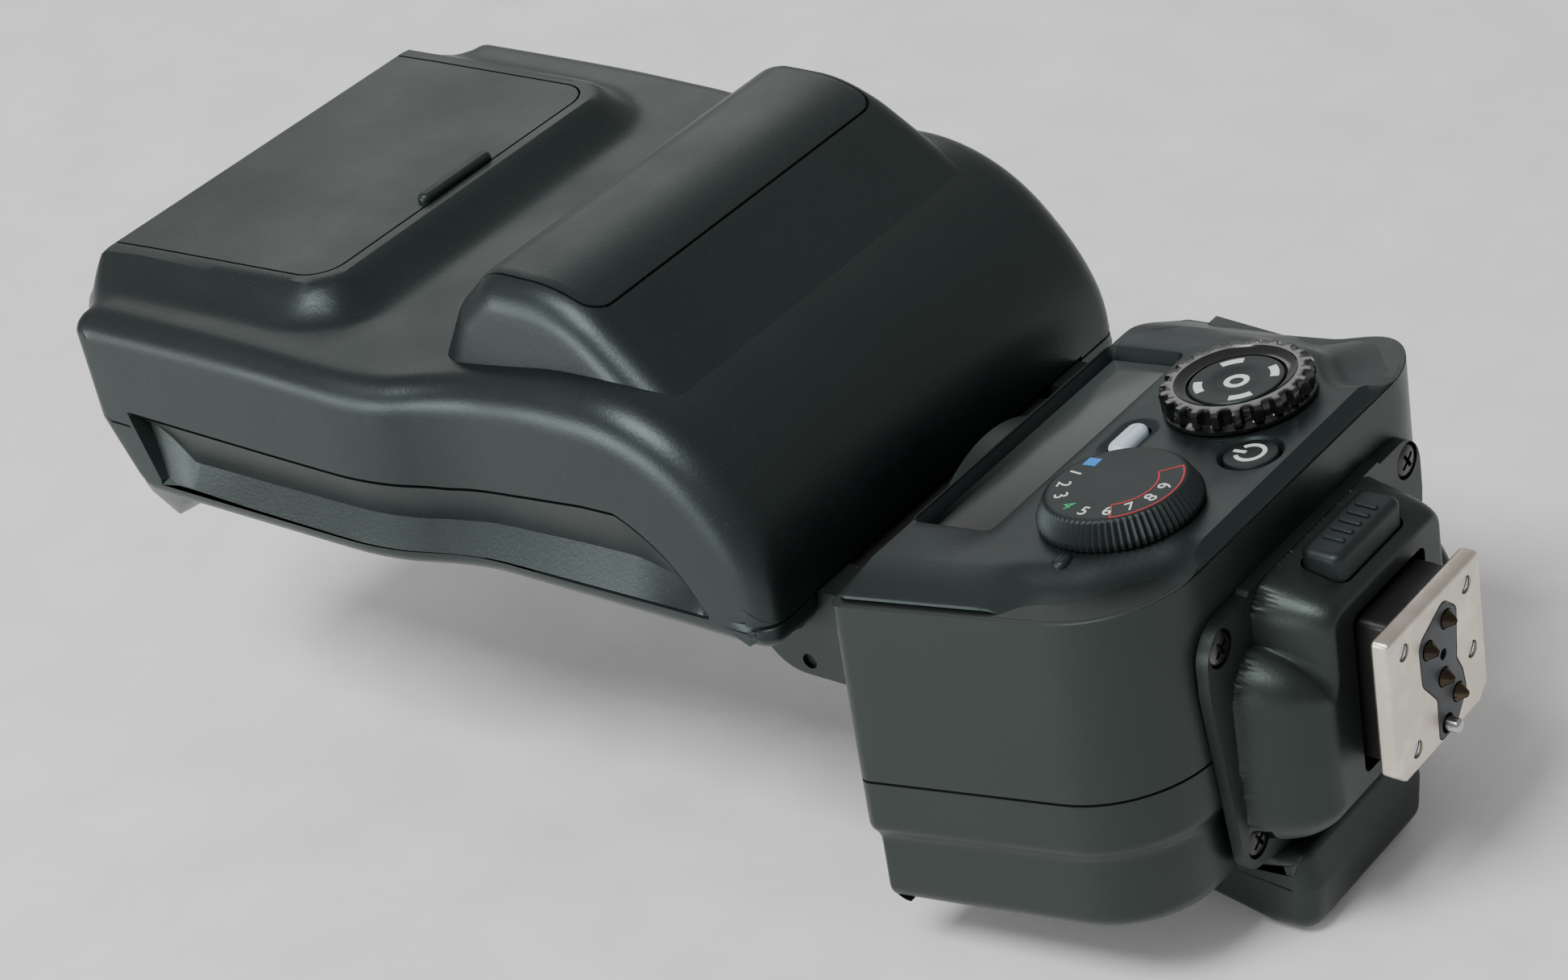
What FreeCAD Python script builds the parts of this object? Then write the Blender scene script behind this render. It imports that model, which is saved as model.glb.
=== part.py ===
import FreeCAD, Part
import math
import os
import re

from FreeCAD import Placement, Rotation, Vector

# Shoe-mount flash. +X leaves the foot, +Z leaves the control panel, Y runs across the body.
# The origin is the centre of the foot plate's outer face. The head is raised in line with the body.

doc = FreeCAD.newDocument("speedlight")
sheet = doc.addObject("Spreadsheet::Sheet", "Sizes")

sizes = {
    "wall": 1.5, "gap": 0.3, "play": 0.1, "panelLean": 7.125,
    "footWidth": 18.6, "footLength": 17.5, "footThick": 2.0, "footNeck": 12.4, "neckHeight": 3.0,
    "bossFace": -5.0, "flangeFace": -13.0, "flangeThick": 1.4,
    "bodyFoot": -14.4, "bodyHead": -49.3, "bodyHalfHead": 33.0, "bodyHalfFoot": 29.7,
    "panelTop": 22.6, "coverThick": 1.7, "seamLow": -0.6, "frontLow": -16.3, "frontSlope": 0.1,
    "lcdLength": 9.6, "lcdWidth": 36.6, "lcdMid": -40.8, "lcdSide": -0.5, "lcdSink": 1.4,
    "dialAlong": -24.3, "modeSide": -12.5, "commandSide": 10.1,
    "modeRadius": 8.3, "modeTop": 7.0, "modeHeight": 3.0,
    "commandRadius": 8.1, "commandHeight": 2.7, "selectRadius": 5.0, "lugCount": 22,
    "powerAlong": -17.3, "powerSide": 0.5, "powerRadius": 2.9,
    "pilotAlong": -32.0, "pilotSide": 0.5, "pilotLength": 5.6, "pilotWidth": 2.4,
    "cellRadius": 7.0, "cellLength": 50.5, "cellPitch": 14.2, "cellAlong": -31.95,
    "housingHalf": 12.0,
    "tiltAlong": -60.5, "tiltHigh": 3.5, "cheekRadius": 5.6, "cheekOut": 24.6, "cheekIn": 19.0,
    "barrelRadius": 5.2, "shaftRadius": 2.5, "turntableRadius": 15.0, "turntableThick": 2.6,
    "hubRadius": 10.5, "headFront": -152.5, "headRear": -57.3, "headHalf": 36.5, "headRearHalf": 33.0,
    "platformHigh": 30.5, "platformRise": 0.04, "shoulderHigh": 28.0, "humpHigh": 39.2,
    "headSeam": 14.0, "bellyLow": -4.0,
    "lensHalf": 29.0, "lensLow": 1.0, "lensHigh": 24.0, "lensThick": 2.2,
    "tubeRadius": 1.75, "capRadius": 11.3, "capLength": 46.0, "screwRadius": 1.2,
}
for row, (alias, value) in enumerate(sizes.items(), 1):
    sheet.set(f"A{row}", alias)
    sheet.set(f"B{row}", str(value))
    sheet.setAlias(f"B{row}", alias)
doc.recompute()
size = {alias: float(getattr(sheet, alias)) for alias in sizes}

alongY = Rotation(Vector(1, 0, 0), -90)
alongX = Rotation(Vector(0, 1, 0), 90)
upright = Rotation()
lean = Rotation(Vector(0, 1, 0), -size["panelLean"])
nodes = {}


def rule(text):
    """Turns a word such as wall into Sizes.wall, so that it can stand in an expression."""
    return re.sub(r"\b[a-zA-Z]+\b", lambda m: "Sizes." + m[0] if m[0] in sizes else m[0], str(text))


def place(obj, at, turn=upright):
    obj.Placement = Placement(Vector(), turn)
    for axis, text in zip("xyz", at):
        obj.setExpression(f"Placement.Base.{axis}", rule(text))
    return obj


def block(name, low, span):
    obj = doc.addObject("Part::Box", name)
    for side, text in zip(("Length", "Width", "Height"), span):
        obj.setExpression(side, rule(text))
    return place(obj, low)


def rod(name, radius, length, at, turn=upright):
    obj = doc.addObject("Part::Cylinder", name)
    obj.setExpression("Radius", rule(radius))
    obj.setExpression("Height", rule(length))
    return place(obj, at, turn)


def cone(name, low, high, height, at, turn=upright):
    obj = doc.addObject("Part::Cone", name)
    for side, text in zip(("Radius1", "Radius2", "Height"), (low, high, height)):
        obj.setExpression(side, rule(text))
    return place(obj, at, turn)


def joined(name, *parts):
    obj = doc.addObject("Part::MultiFuse", name)
    obj.Shapes = list(parts)
    obj.Refine = True
    return obj


def shared(name, *parts):
    obj = doc.addObject("Part::MultiCommon", name)
    obj.Shapes = list(parts)
    return obj


def trimmed(name, base, *tools):
    obj = doc.addObject("Part::Cut", name)
    obj.Base = base
    obj.Tool = tools[0] if len(tools) == 1 else joined(name + "Tools", *tools)
    return obj


def rounded(name, base, radius, pick):
    """Rounds the edges whose middle point passes the pick test."""
    doc.recompute()
    obj = doc.addObject("Part::Fillet", name)
    obj.Base = base
    chosen = []
    for number, edge in enumerate(base.Shape.Edges, 1):
        middle = edge.valueAt((edge.FirstParameter + edge.LastParameter) / 2)
        if pick(middle, edge):
            chosen.append((number, radius, radius))
    obj.Edges = chosen
    return obj


def outline(name, corners, turn=upright):
    """A closed sketch through (x, y, radius) corners, with an arc at each corner that has a radius."""
    sketch = doc.addObject("Sketcher::SketchObject", name)
    count = len(corners)
    starts, ends = [], []
    for i, (x, y, radius) in enumerate(corners):
        here = Vector(x, y, 0)
        back = (Vector(*corners[i - 1][:2], 0) - here).normalize()
        on = (Vector(*corners[(i + 1) % count][:2], 0) - here).normalize()
        if not radius:
            starts.append(here)
            ends.append(here)
            continue
        half = back.getAngle(on) / 2
        reach = radius / math.tan(half)
        first, last = here + back * reach, here + on * reach
        centre = here + (back + on).normalize() * (radius / math.sin(half))
        middle = centre + (here - centre).normalize() * radius
        sketch.addGeometry(Part.Arc(first, middle, last), False)
        starts.append(first)
        ends.append(last)
    for i in range(count):
        sketch.addGeometry(Part.LineSegment(ends[i], starts[(i + 1) % count]), False)
    sketch.Placement = Placement(Vector(), turn)
    return sketch


def raised(name, sketch, height, start=0):
    """The sketch pulled along its own normal, from start to start plus height."""
    obj = doc.addObject("Part::Extrusion", name)
    obj.Base = sketch
    obj.DirMode = "Normal"
    obj.Solid = True
    obj.setExpression("LengthFwd", rule(height))
    normal = sketch.Placement.Rotation.multVec(Vector(0, 0, 1))
    sketch.Placement.Base = normal * float(start)
    return obj


def node(name, obj, turn=None):
    """Names a finished piece. The panel's pieces are drawn square and then lean with the panel."""
    if turn is not None:
        square, obj = obj, doc.addObject("Part::Compound", name + "Leaned")
        obj.Links = [square]
        obj.Placement = Placement(Vector(), turn)
    obj.Label = name
    nodes[name] = obj
    return obj


def half(name):
    return size[name] / 2


sideView = Rotation(Vector(1, 0, 0), 90)      # sketch x, y become X, Z; its normal is -Y
endView = Rotation(Vector(1, 1, 1), 120)      # sketch x, y become Y, Z; its normal is +X
slope = math.tan(math.radians(size["panelLean"]))
wall = size["wall"]


# ---- foot and shoe housing -------------------------------------------------------------------

footHalf = half("footWidth")
footEnd = half("footLength")
plate = raised("footBlank", outline("footOutline", [
    (-footHalf, footEnd, 0.4), (footHalf, footEnd, 0.4), (footHalf, -footEnd + 1.6, 0.3),
    (footHalf - 1.6, -footEnd, 0.3), (-footHalf + 1.6, -footEnd, 0.3), (-footHalf, -footEnd + 1.6, 0.3),
], endView), "footThick", -size["footThick"])

blockCorners = [(1.6, 7.4, 1.2), (-3.6, 5.2, 1.6), (-3.4, 0.2, 1.6), (-0.8, -3.0, 1.2), (-0.9, -8.4, 0.8),
                (2.4, -8.4, 0.8), (4.9, -5.2, 1.4), (4.4, -2.6, 0.8), (3.4, -0.6, 0.8), (4.0, 5.2, 1.2)]
contactBlock = raised("contactBlank", outline("contactOutline", blockCorners, endView), 2.1, -1.98)
blockHole = raised("contactRoom", outline("contactRoomOutline", blockCorners, endView), 2.6, -2.5)

pinPlaces = [(1.9, 5.0), (-1.9, 3.6), (0.7, -1.2), (3.2, -4.6)]
lockPlace = (0.8, -6.9)
screwPlaces = [(6.2, 6.4), (6.6, -1.6), (-6.4, 6.2), (-5.2, -6.2)]


def rods(name, radius, length, places, start):
    """The same rod along X at each (y, z) place."""
    made = [rod(f"{name}{i}", radius, length, (start, y, z), alongX) for i, (y, z) in enumerate(places)]
    return joined(name, *made)


node("foot_plate", trimmed("footPlate", plate, blockHole, rods("footScrewHole", 0.8, 3, screwPlaces, -2.5)))
node("contact_block", trimmed("contactInsulator", contactBlock,
                              rods("contactHole", 0.95, 4, pinPlaces, -3),
                              rod("lockHole", 0.9, 4, (-3, *lockPlace), alongX)))
node("foot_screws", rods("footScrew", 0.75, 4.4, screwPlaces, -4.4))

pins = []
for i, (y, z) in enumerate(pinPlaces):
    pins.append(rod(f"contactStem{i}", 0.85, 4.6, (-4.6, y, z), alongX))
    pins.append(cone(f"contactTip{i}", 0.85, 0.3, 0.9, (0, y, z), alongX))
node("contact_pins", joined("contactPins", *pins))

lockStem = rod("lockStem", 0.8, 8.4, (-7, *lockPlace), alongX)
lockTip = cone("lockTip", 0.8, 0.55, 0.2, (1.4, *lockPlace), alongX)
lockFollower = block("lockFollower", (-7.9, -3.2, -8.4), (1.5, 6.4, 11.6))
node("lock_pin", joined("lockPin", lockStem, lockTip, lockFollower))

neckBlank = block("neckBlank", ("-footThick - neckHeight", "-footNeck / 2", "-footLength / 2 + 0.3"),
                  ("neckHeight", "footNeck", "footLength - 0.6"))
neckBore = rods("neckBore", 1.1, 4, pinPlaces + [lockPlace], -5.5)
node("shoe_neck", trimmed("shoeNeck", neckBlank, neckBore, rods("neckScrewHole", 0.8, 4, screwPlaces, -5.5)))

flange = raised("flangeBlank", outline("flangeOutline", [
    (-21, 13.3, 4), (21, 13.3, 4), (21, 6, 5), (17.9, -17.4, 3), (10, -18.8, 4), (6, -20, 4),
    (-6, -20, 4), (-10, -18.8, 4), (-17.9, -17.4, 3), (-21, 6, 5),
], endView), "flangeThick", size["flangeFace"] - size["flangeThick"])
bossDeep = size["bossFace"] - size["flangeFace"]
bossLow = doc.addObject("Part::Wedge", "bossLow")
for prop, value in dict(Xmin=-17.2, Xmax=17.2, Zmin=-15.4, Zmax=6.6, X2min=-11, X2max=11,
                        Z2min=-11.8, Z2max=5.2, Ymin=0, Ymax=bossDeep).items():
    setattr(bossLow, prop, value)
place(bossLow, ("flangeFace", 0, 0), Rotation(Vector(0, 0, 1), -90))
bossHigh = doc.addObject("Part::Wedge", "bossHigh")
for prop, value in dict(Xmin=-12.7, Xmax=12.7, Zmin=-10, Zmax=13.4, X2min=-10.6, X2max=10.6,
                        Z2min=-10, Z2max=13.4, Ymin=0, Ymax=bossDeep).items():
    setattr(bossHigh, prop, value)
place(bossHigh, ("flangeFace", 0, 0), Rotation(Vector(0, 0, 1), -90))
housing = joined("housingBlank", flange, bossLow, bossHigh)
housingCore = block("housingCore", (-15, -8.6, -9.6), (8.8, 17.2, 19))
buttonWell = block("buttonWell", (-11.6, -6.9, 7.5), (6.0, 13.8, 8))
housingScrews = [(18.4, 10.6), (-18.4, 10.6), (15.4, -14.6), (-15.4, -14.6)]
node("shoe_housing", trimmed("shoeHousing", housing, housingCore, buttonWell,
                             rods("neckPass", 1.1, 4, pinPlaces + [lockPlace], -7),
                             rods("bossScrewHole", 0.8, 4, screwPlaces, -7),
                             rods("housingScrewHole", 2.0, 3, housingScrews, -14),
                             rods("housingScrewShank", 1.1, 4, housingScrews, -17)))
heads = rods("housingScrewHead", 1.9, 0.9, housingScrews, -13.9)
shanks = rods("housingScrewStem", 0.95, 3.4, housingScrews, -17.2)
node("housing_screws", joined("housingScrews", heads, shanks))

release = block("releaseCap", (-11.1, -6.4, 9.7), (5.0, 12.8, 6.1))
release = rounded("releaseRound", release, 1.2, lambda m, e: abs(m.y) > 6.3 and abs(m.x + 8.6) > 2.4)
node("release_button", joined("releaseButton", release, block("releaseArm", (-9.6, -2.6, 5.6), (1.7, 5.2, 4.2))))


# ---- body shells -----------------------------------------------------------------------------

def bodyPlan(name, inset, low, high):
    """The body seen along Z: a taper towards the foot with wide corners there."""
    back, front = size["bodyHead"] + inset, size["bodyFoot"] - inset
    wide, narrow = size["bodyHalfHead"] - inset, size["bodyHalfFoot"] - inset
    sketch = outline(name + "Plan", [(back, -wide, 4.5 - inset), (front, -narrow, 12 - inset),
                                     (front, narrow, 12 - inset), (back, wide, 4.5 - inset)])
    return raised(name, sketch, high - low, low)


def band(name, lowLine, highLine, back, front):
    """The space between two lines of the side view, right across the flash."""
    sketch = outline(name + "Side", [(back, lowLine(back), 0), (front, lowLine(front), 0),
                                     (front, highLine(front), 0), (back, highLine(back), 0)], sideView)
    return raised(name, sketch, 90, -45)


def bodyBand(name, lowLine, highLine):
    return band(name, lowLine, highLine, size["bodyHead"] - 4, size["bodyFoot"] + 4)


def seamLine(x):
    return slope * x + size["seamLow"]


def coverLine(x):
    return slope * x + (size["panelTop"] - size["coverThick"]) / math.cos(math.radians(size["panelLean"]))


def frontLine(x):
    return size["frontSlope"] * x + size["frontLow"]


def shell(name, lowLine, highLine, innerLow):
    outer = shared(name + "Outer", bodyPlan(name + "OuterPlan", 0, -40, 40),
                   bodyBand(name + "OuterBand", lowLine, highLine))
    inner = shared(name + "Inner", bodyPlan(name + "InnerPlan", wall, -40, 40),
                   bodyBand(name + "InnerBand", innerLow, lambda x: 60))
    return outer, inner


doorFrom, doorTo, doorLow, doorHigh = -44.0, -21.5, -17.6, 13.4
taper = (size["bodyHalfHead"] - size["bodyHalfFoot"]) / (size["bodyFoot"] - size["bodyHead"])
alongSide = Rotation(Vector(0, 0, 1), -math.degrees(math.atan(taper))).multiply(alongX)


def sideSlab(name, inner, outer, back, front, low, high):
    """A slab that follows the +Y side wall, between two depths under its surface."""
    return trimmed(name, shared(name + "Outer", bodyPlan(name + "OuterPlan", outer, low, high),
                                block(name + "Box", (back, 20, low), (front - back, 20, high - low))),
                   bodyPlan(name + "InnerPlan", inner, low - 1, high + 1))


def sideRod(name, radius, depth, high, back, front):
    """A rod that runs along the +Y side wall at one depth under its surface."""
    y = size["bodyHalfHead"] - depth - taper * (back - size["bodyHead"])
    return rod(name, radius, (front - back) * math.sqrt(1 + taper ** 2), (back, y, high), alongSide)


doorRoom = sideSlab("doorRoom", 2.1, -1, doorFrom - 0.3, doorTo + 0.3, -26, doorHigh + 0.3)
armRoom = sideSlab("armRoom", 4.0, 2, doorFrom - 0.3, doorTo + 0.3, -26, -9)
turntableHole = rod("turntableHole", "hubRadius + play", 6, (-52, 0, 0), alongX)
shoeOpening = block("shoeOpening", (-16.5, -9, -10), (4, 18, 19.4))
shankHoles = rods("shellScrewHole", 1.0, 4, housingScrews, -17.5)

outer, inner = shell("rear", seamLine, coverLine, lambda x: -60)
node("rear_shell", trimmed("rearShell", outer, inner, doorRoom, turntableHole, shoeOpening, shankHoles))

outer, inner = shell("front", frontLine, lambda x: seamLine(x) - 0.05, lambda x: frontLine(x) + wall)
bump = raised("bumpBlank", outline("bumpSide", [
    (-42, -20.5, 0), (-37.5, -24.4, 3), (-15, -29.3, 2), (-10.2, -28.6, 2.4), (-9.4, -26, 1),
    (-10.8, -20.8, 0.6), (-14.6, -20.8, 0), (-14.8, -17, 0), (-41, -19.6, 0)], sideView),
    "2 * housingHalf", -size["housingHalf"])
bumpCore = raised("bumpCoreBlank", outline("bumpCoreSide", [
    (-39, -15, 0), (-38.4, -21.6, 0), (-15.5, -27.5, 0), (-12, -27, 0), (-12, -22.4, 0),
    (-16.2, -22, 0), (-16.2, -15, 0)], sideView), 20.4, -10.2)
lampHole = block("lampHole", (-31.5, -7.9, -31), (13, 15.8, 7))
frontBlank = joined("frontBlank", trimmed("frontTub", outer, inner), bump)
node("front_shell", trimmed("frontShell", frontBlank, bumpCore, lampHole, doorRoom, armRoom,
                            turntableHole, shoeOpening, shankHoles))
node("assist_window", block("assistWindow", (-31.3, -7.7, -28.2), (12.6, 15.4, 1.2)))
node("assist_lamps", joined("assistLamps", *[
    rod(f"assistLamp{i}", 2.4, 4, (-25, y, -23.4)) for i, y in enumerate((-4.5, 4.5))]))
node("assist_board", block("assistBoard", (-34, -9.6, -19.3), (17, 19.2, 1)))


# ---- battery bay -----------------------------------------------------------------------------

cellStart = -24.6
cellPlaces = []
for x in ("cellAlong - cellPitch / 2", "cellAlong + cellPitch / 2"):
    middle = size["cellAlong"] + size["cellPitch"] / 2 * (1 if "+" in x else -1)
    low = frontLine(middle) + wall + size["cellRadius"] + 0.7
    cellPlaces += [(x, low), (x, low + size["cellPitch"])]
cells, studs, springs = [], [], []
for i, (x, z) in enumerate(cellPlaces):
    cells.append(rod(f"cell{i}", "cellRadius", "cellLength - 1", (x, cellStart, z), alongY))
    studs.append(rod(f"cellStud{i}", 2.6, 1, (x, f"{cellStart} + cellLength - 1", z), alongY))
    springs.append(cone(f"cellSpring{i}", 4.4, 2.6, 2, (x, cellStart - 2.05, z), alongY))
node("battery_cells", joined("batteryCells", *cells, *studs))
node("battery_springs", joined("batterySprings", *springs))
barHigh = cellPlaces[0][1] + size["cellPitch"] / 2 + 0.6
cageEnd = block("cageEnd", ("cellAlong - 12.5", cellStart - 3.2, barHigh - 9), (18, 1.1, 18))
cageBar = block("cageBar", ("cellAlong - 1.5", cellStart - 3.2, barHigh - 1.5), (3, 52, 3))
node("battery_cage", joined("batteryCage", cageEnd, cageBar))
lug = 1.8
doorPlate = sideSlab("doorPlate", 1.9, 0, doorFrom, doorTo, doorLow, doorHigh)
knuckle = shared("doorKnuckle", sideRod("doorKnuckleRod", 0.94, 0.95, doorLow, doorFrom - 1, doorTo + 1),
                 block("doorKnuckleBox", (doorFrom, 20, doorLow - 3), (doorTo - doorFrom, 20, 6)))
lugRoom = [block(f"lugRoom{i}", (x, 20, doorLow - 3), (lug + 0.2, 20, 4.2))
           for i, x in enumerate((doorFrom - 0.1, doorTo - lug - 0.1))]
node("battery_door", trimmed("batteryDoor", joined("doorBlank", doorPlate, knuckle), *lugRoom,
                             sideRod("doorBore", 0.55, 0.95, doorLow, doorFrom - 2, doorTo + 2)))
node("door_pin", sideRod("doorPin", 0.5, 0.95, doorLow, doorFrom + 0.3, doorTo - 0.3))
sliderLugs = [block(f"sliderLug{i}", (x, 20, doorLow - 0.9), (lug - 0.3, 20, 1.8))
              for i, x in enumerate((doorFrom + 0.15, doorTo - lug + 0.15))]
sliderBar = sideSlab("sliderBar", 3.6, 2.2, doorFrom + 0.15, doorTo - 0.15, doorLow - 0.9, -9.6)
sliderReach = sideSlab("sliderReach", 2.3, 0.2, doorFrom, doorTo, doorLow - 0.9, doorLow + 0.9)
node("door_slider", trimmed("doorSlider", joined("sliderBlank", sliderBar, shared(
    "sliderLugs", joined("sliderLugBars", *sliderLugs), sliderReach)),
    sideRod("sliderBore", 0.5, 0.95, doorLow, doorFrom - 2, doorTo + 2)))


# ---- control panel, drawn square and leaned ---------------------------------------------------

panelBack, panelFront = -46.7, -11.9
cover = raised("coverBlank", outline("coverOutline", [
    (panelBack, -31.8, 4.5), (panelFront, -28.8, 12), (panelFront, 28.8, 12), (panelBack, 31.8, 4.5)]),
    "coverThick", size["panelTop"] - size["coverThick"])
doc.recompute()
cover = rounded("coverRound", cover, 1.3, lambda m, e: m.z > size["panelTop"] - 0.1)
lcdHole = block("lcdHole", ("lcdMid - lcdLength / 2", "lcdSide - lcdWidth / 2", 15),
                ("lcdLength", "lcdWidth", 12))
modeWell = rod("modeWell", 3.4, 6, ("dialAlong", "modeSide", 18))
commandWell = rod("commandWell", 5.6, 6, ("dialAlong", "commandSide", 18))
powerWell = rod("powerWell", "powerRadius + 0.2", 6, ("powerAlong", "powerSide", 18))


def oval(name, extra, low, height):
    """A slot-shaped button: a bar between two round ends, long across the panel."""
    reach = size["pilotLength"] / 2 - size["pilotWidth"] / 2
    ends = [rod(f"{name}End{i}", f"pilotWidth / 2 + {extra}", height, ("pilotAlong", f"pilotSide + {s}", low))
            for i, s in enumerate((-reach, reach))]
    bar = block(name + "Bar", (f"pilotAlong - pilotWidth / 2 - {extra}", f"pilotSide - {reach}", low),
                (f"pilotWidth + {2 * extra}", 2 * reach, height))
    return joined(name, bar, *ends)


node("panel_cover", trimmed("panelCover", cover, lcdHole, modeWell, commandWell, powerWell,
                            oval("pilotWell", 0.2, 18, 6)), lean)
node("lcd_window", block("lcdWindow", ("lcdMid - lcdLength / 2 + play", "lcdSide - lcdWidth / 2 + play",
                                       "panelTop - lcdSink - 0.9"),
                         ("lcdLength - 2 * play", "lcdWidth - 2 * play", 0.9)), lean)
node("lcd_module", block("lcdModule", ("lcdMid - 4.6", "lcdSide - 19", 18.0), (9.2, 38, 2.2)), lean)
node("main_board", raised("boardBlank", outline("boardOutline", [
    (-43.4, -26, 1), (-24, -26, 2), (-15.4, -18.5, 2), (-15.4, 18.5, 2), (-24, 26, 2), (-43.4, 26, 1)]),
    1, 16.8), lean)

modeCap = cone("modeCap", "modeRadius", "modeTop", "modeHeight", ("dialAlong", "modeSide", "panelTop + 0.15"))
teeth = []
for i in range(40):
    turn = math.radians(360 / 40 * i)
    x = size["dialAlong"] + 8.15 * math.cos(turn)
    y = size["modeSide"] + 8.15 * math.sin(turn)
    teeth.append(rod(f"modeTooth{i}", 0.28, 0.5, (x, y, "panelTop + 0.15")))
modeStem = rod("modeStem", 3.1, 2.6, ("dialAlong", "modeSide", "panelTop - 2.4"))
node("mode_dial", joined("modeDial", modeCap, modeStem, *teeth), lean)
node("mode_switch", rod("modeSwitch", 5.0, 2.2, ("dialAlong", "modeSide", 17.85)), lean)

commandBase = "panelTop + 0.15"
commandDisc = rod("commandDisc", "commandRadius - 0.7", "commandHeight", ("dialAlong", "commandSide", commandBase))
lugs = []
for i in range(int(size["lugCount"])):
    turn = math.radians(360 / size["lugCount"] * i)
    x = size["dialAlong"] + 7.3 * math.cos(turn)
    y = size["commandSide"] + 7.3 * math.sin(turn)
    lugs.append(rod(f"commandLug{i}", 0.75, "commandHeight", (x, y, commandBase)))
commandStem = rod("commandStem", 5.4, 2.6, ("dialAlong", "commandSide", "panelTop - 2.4"))
commandBore = rod("commandBore", "selectRadius + 0.2", 4, ("dialAlong", "commandSide", "panelTop + 0.8"))
selectBore = rod("selectBore", 2.2, 8, ("dialAlong", "commandSide", "panelTop - 4"))
node("command_dial", trimmed("commandDial", joined("commandBody", commandDisc, commandStem, *lugs),
                             commandBore, selectBore), lean)
node("command_switch", trimmed("commandSwitch", rod("commandCan", 5.3, 2.2, ("dialAlong", "commandSide", 17.85)),
                               rod("commandCanBore", 2.2, 4, ("dialAlong", "commandSide", 17.5))), lean)
selectCap = rod("selectCap", "selectRadius", 1.0, ("dialAlong", "commandSide", "panelTop + 1.5"))
selectStem = rod("selectStem", 1.9, 4.3, ("dialAlong", "commandSide", "panelTop - 2.8"))
node("select_button", joined("selectButton", selectCap, selectStem), lean)
powerCap = rod("powerCap", "powerRadius", 2.4, ("powerAlong", "powerSide", "panelTop - 2.0"))
node("power_button", powerCap, lean)
node("pilot_button", oval("pilotButton", 0, "panelTop - 1.6", 2.1), lean)
switches = [block("powerSwitch", (-19.0, -1.2, 17.85), (3.4, 3.4, 1.8)),
            block("pilotSwitch", (-33.6, -1.1, 17.85), (3.2, 3.2, 2.1)),
            rod("selectSwitch", 1.7, 0.9, ("dialAlong", "commandSide", 17.85))]
node("button_switches", joined("buttonSwitches", *switches), lean)


# ---- swivel and tilt hinge ---------------------------------------------------------------------

seat = size["bodyHead"] - size["gap"]
diskFront = seat - size["turntableThick"]
disk = rod("turntableDisk", "turntableRadius", "turntableThick", (diskFront, 0, 0), alongX)
hub = rod("turntableHub", "hubRadius - play", 2.4, (seat, 0, 0), alongX)
yokeFoot = block("yokeFoot", (-54.2, "-cheekOut", -2.1), (54.2 + diskFront, "2 * cheekOut", 11.2))
cheeks = []
for i, side in enumerate((-1, 1)):
    start = "cheekIn" if side > 0 else "-cheekOut"
    cheeks.append(rod(f"cheekRound{i}", "cheekRadius", "cheekOut - cheekIn", ("tiltAlong", start, "tiltHigh"), alongY))
    cheeks.append(block(f"cheekArm{i}", ("tiltAlong", start, "tiltHigh - cheekRadius"),
                        (6.4, "cheekOut - cheekIn", "2 * cheekRadius")))
yokeBlank = joined("yokeBlank", disk, hub, yokeFoot, *cheeks)
cablePass = rod("cablePass", 5, 14, (-58, 0, 0), alongX)
shaftBore = rod("shaftBore", "shaftRadius + 0.05", "2 * cheekOut - 1.2", ("tiltAlong", "-cheekOut + 0.6", "tiltHigh"), alongY)
barrelRoom = rod("barrelRoom", "barrelRadius + 0.5", "2 * cheekIn", ("tiltAlong", "-cheekIn", "tiltHigh"), alongY)
pinHole = rod("cheekPinHole", 0.9, 1.6, (-60, "-cheekOut - 1", -0.4), alongY)
node("tilt_yoke", trimmed("tiltYoke", yokeBlank, cablePass, shaftBore, barrelRoom, pinHole))
node("swivel_retainer", trimmed("swivelRetainer", rod("retainerDisk", 11.8, 0.9, (seat + 2.4, 0, 0), alongX),
                                rod("retainerBore", 5, 3, (seat + 1, 0, 0), alongX)))
node("tilt_shaft", rod("tiltShaft", "shaftRadius", "2 * cheekOut - 1.8",
                       ("tiltAlong", "-cheekOut + 0.9", "tiltHigh"), alongY))
barrel = rod("barrelRod", "barrelRadius", 35.6, ("tiltAlong", -17.8, "tiltHigh"), alongY)
barrelWeb = block("barrelWeb", (-64, -17.8, 7), (3.6, 35.6, 4.6))
barrelTop = block("barrelTop", (-73, -17.8, 10.4), (12.6, 35.6, 1.4))
node("tilt_bracket", trimmed("tiltBracket", joined("bracketBlank", barrel, barrelWeb, barrelTop),
                             rod("barrelBore", "shaftRadius", 40, ("tiltAlong", -20, "tiltHigh"), alongY)))
discs = [trimmed(f"detentDisc{i}", rod(f"detentDiscRod{i}", 4.9, 0.8, ("tiltAlong", y, "tiltHigh"), alongY),
                 rod(f"detentBore{i}", "shaftRadius", 3, ("tiltAlong", y - 1, "tiltHigh"), alongY))
         for i, y in enumerate((-18.6, 17.8))]
node("detent_discs", joined("detentDiscs", *discs))


# ---- head shells -------------------------------------------------------------------------------
# The head is lofted through sections along X. Each one is (x, half width, side top, top, belly).

def platformLine(x):
    return size["platformHigh"] + size["platformRise"] * (x - size["headFront"])


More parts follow.
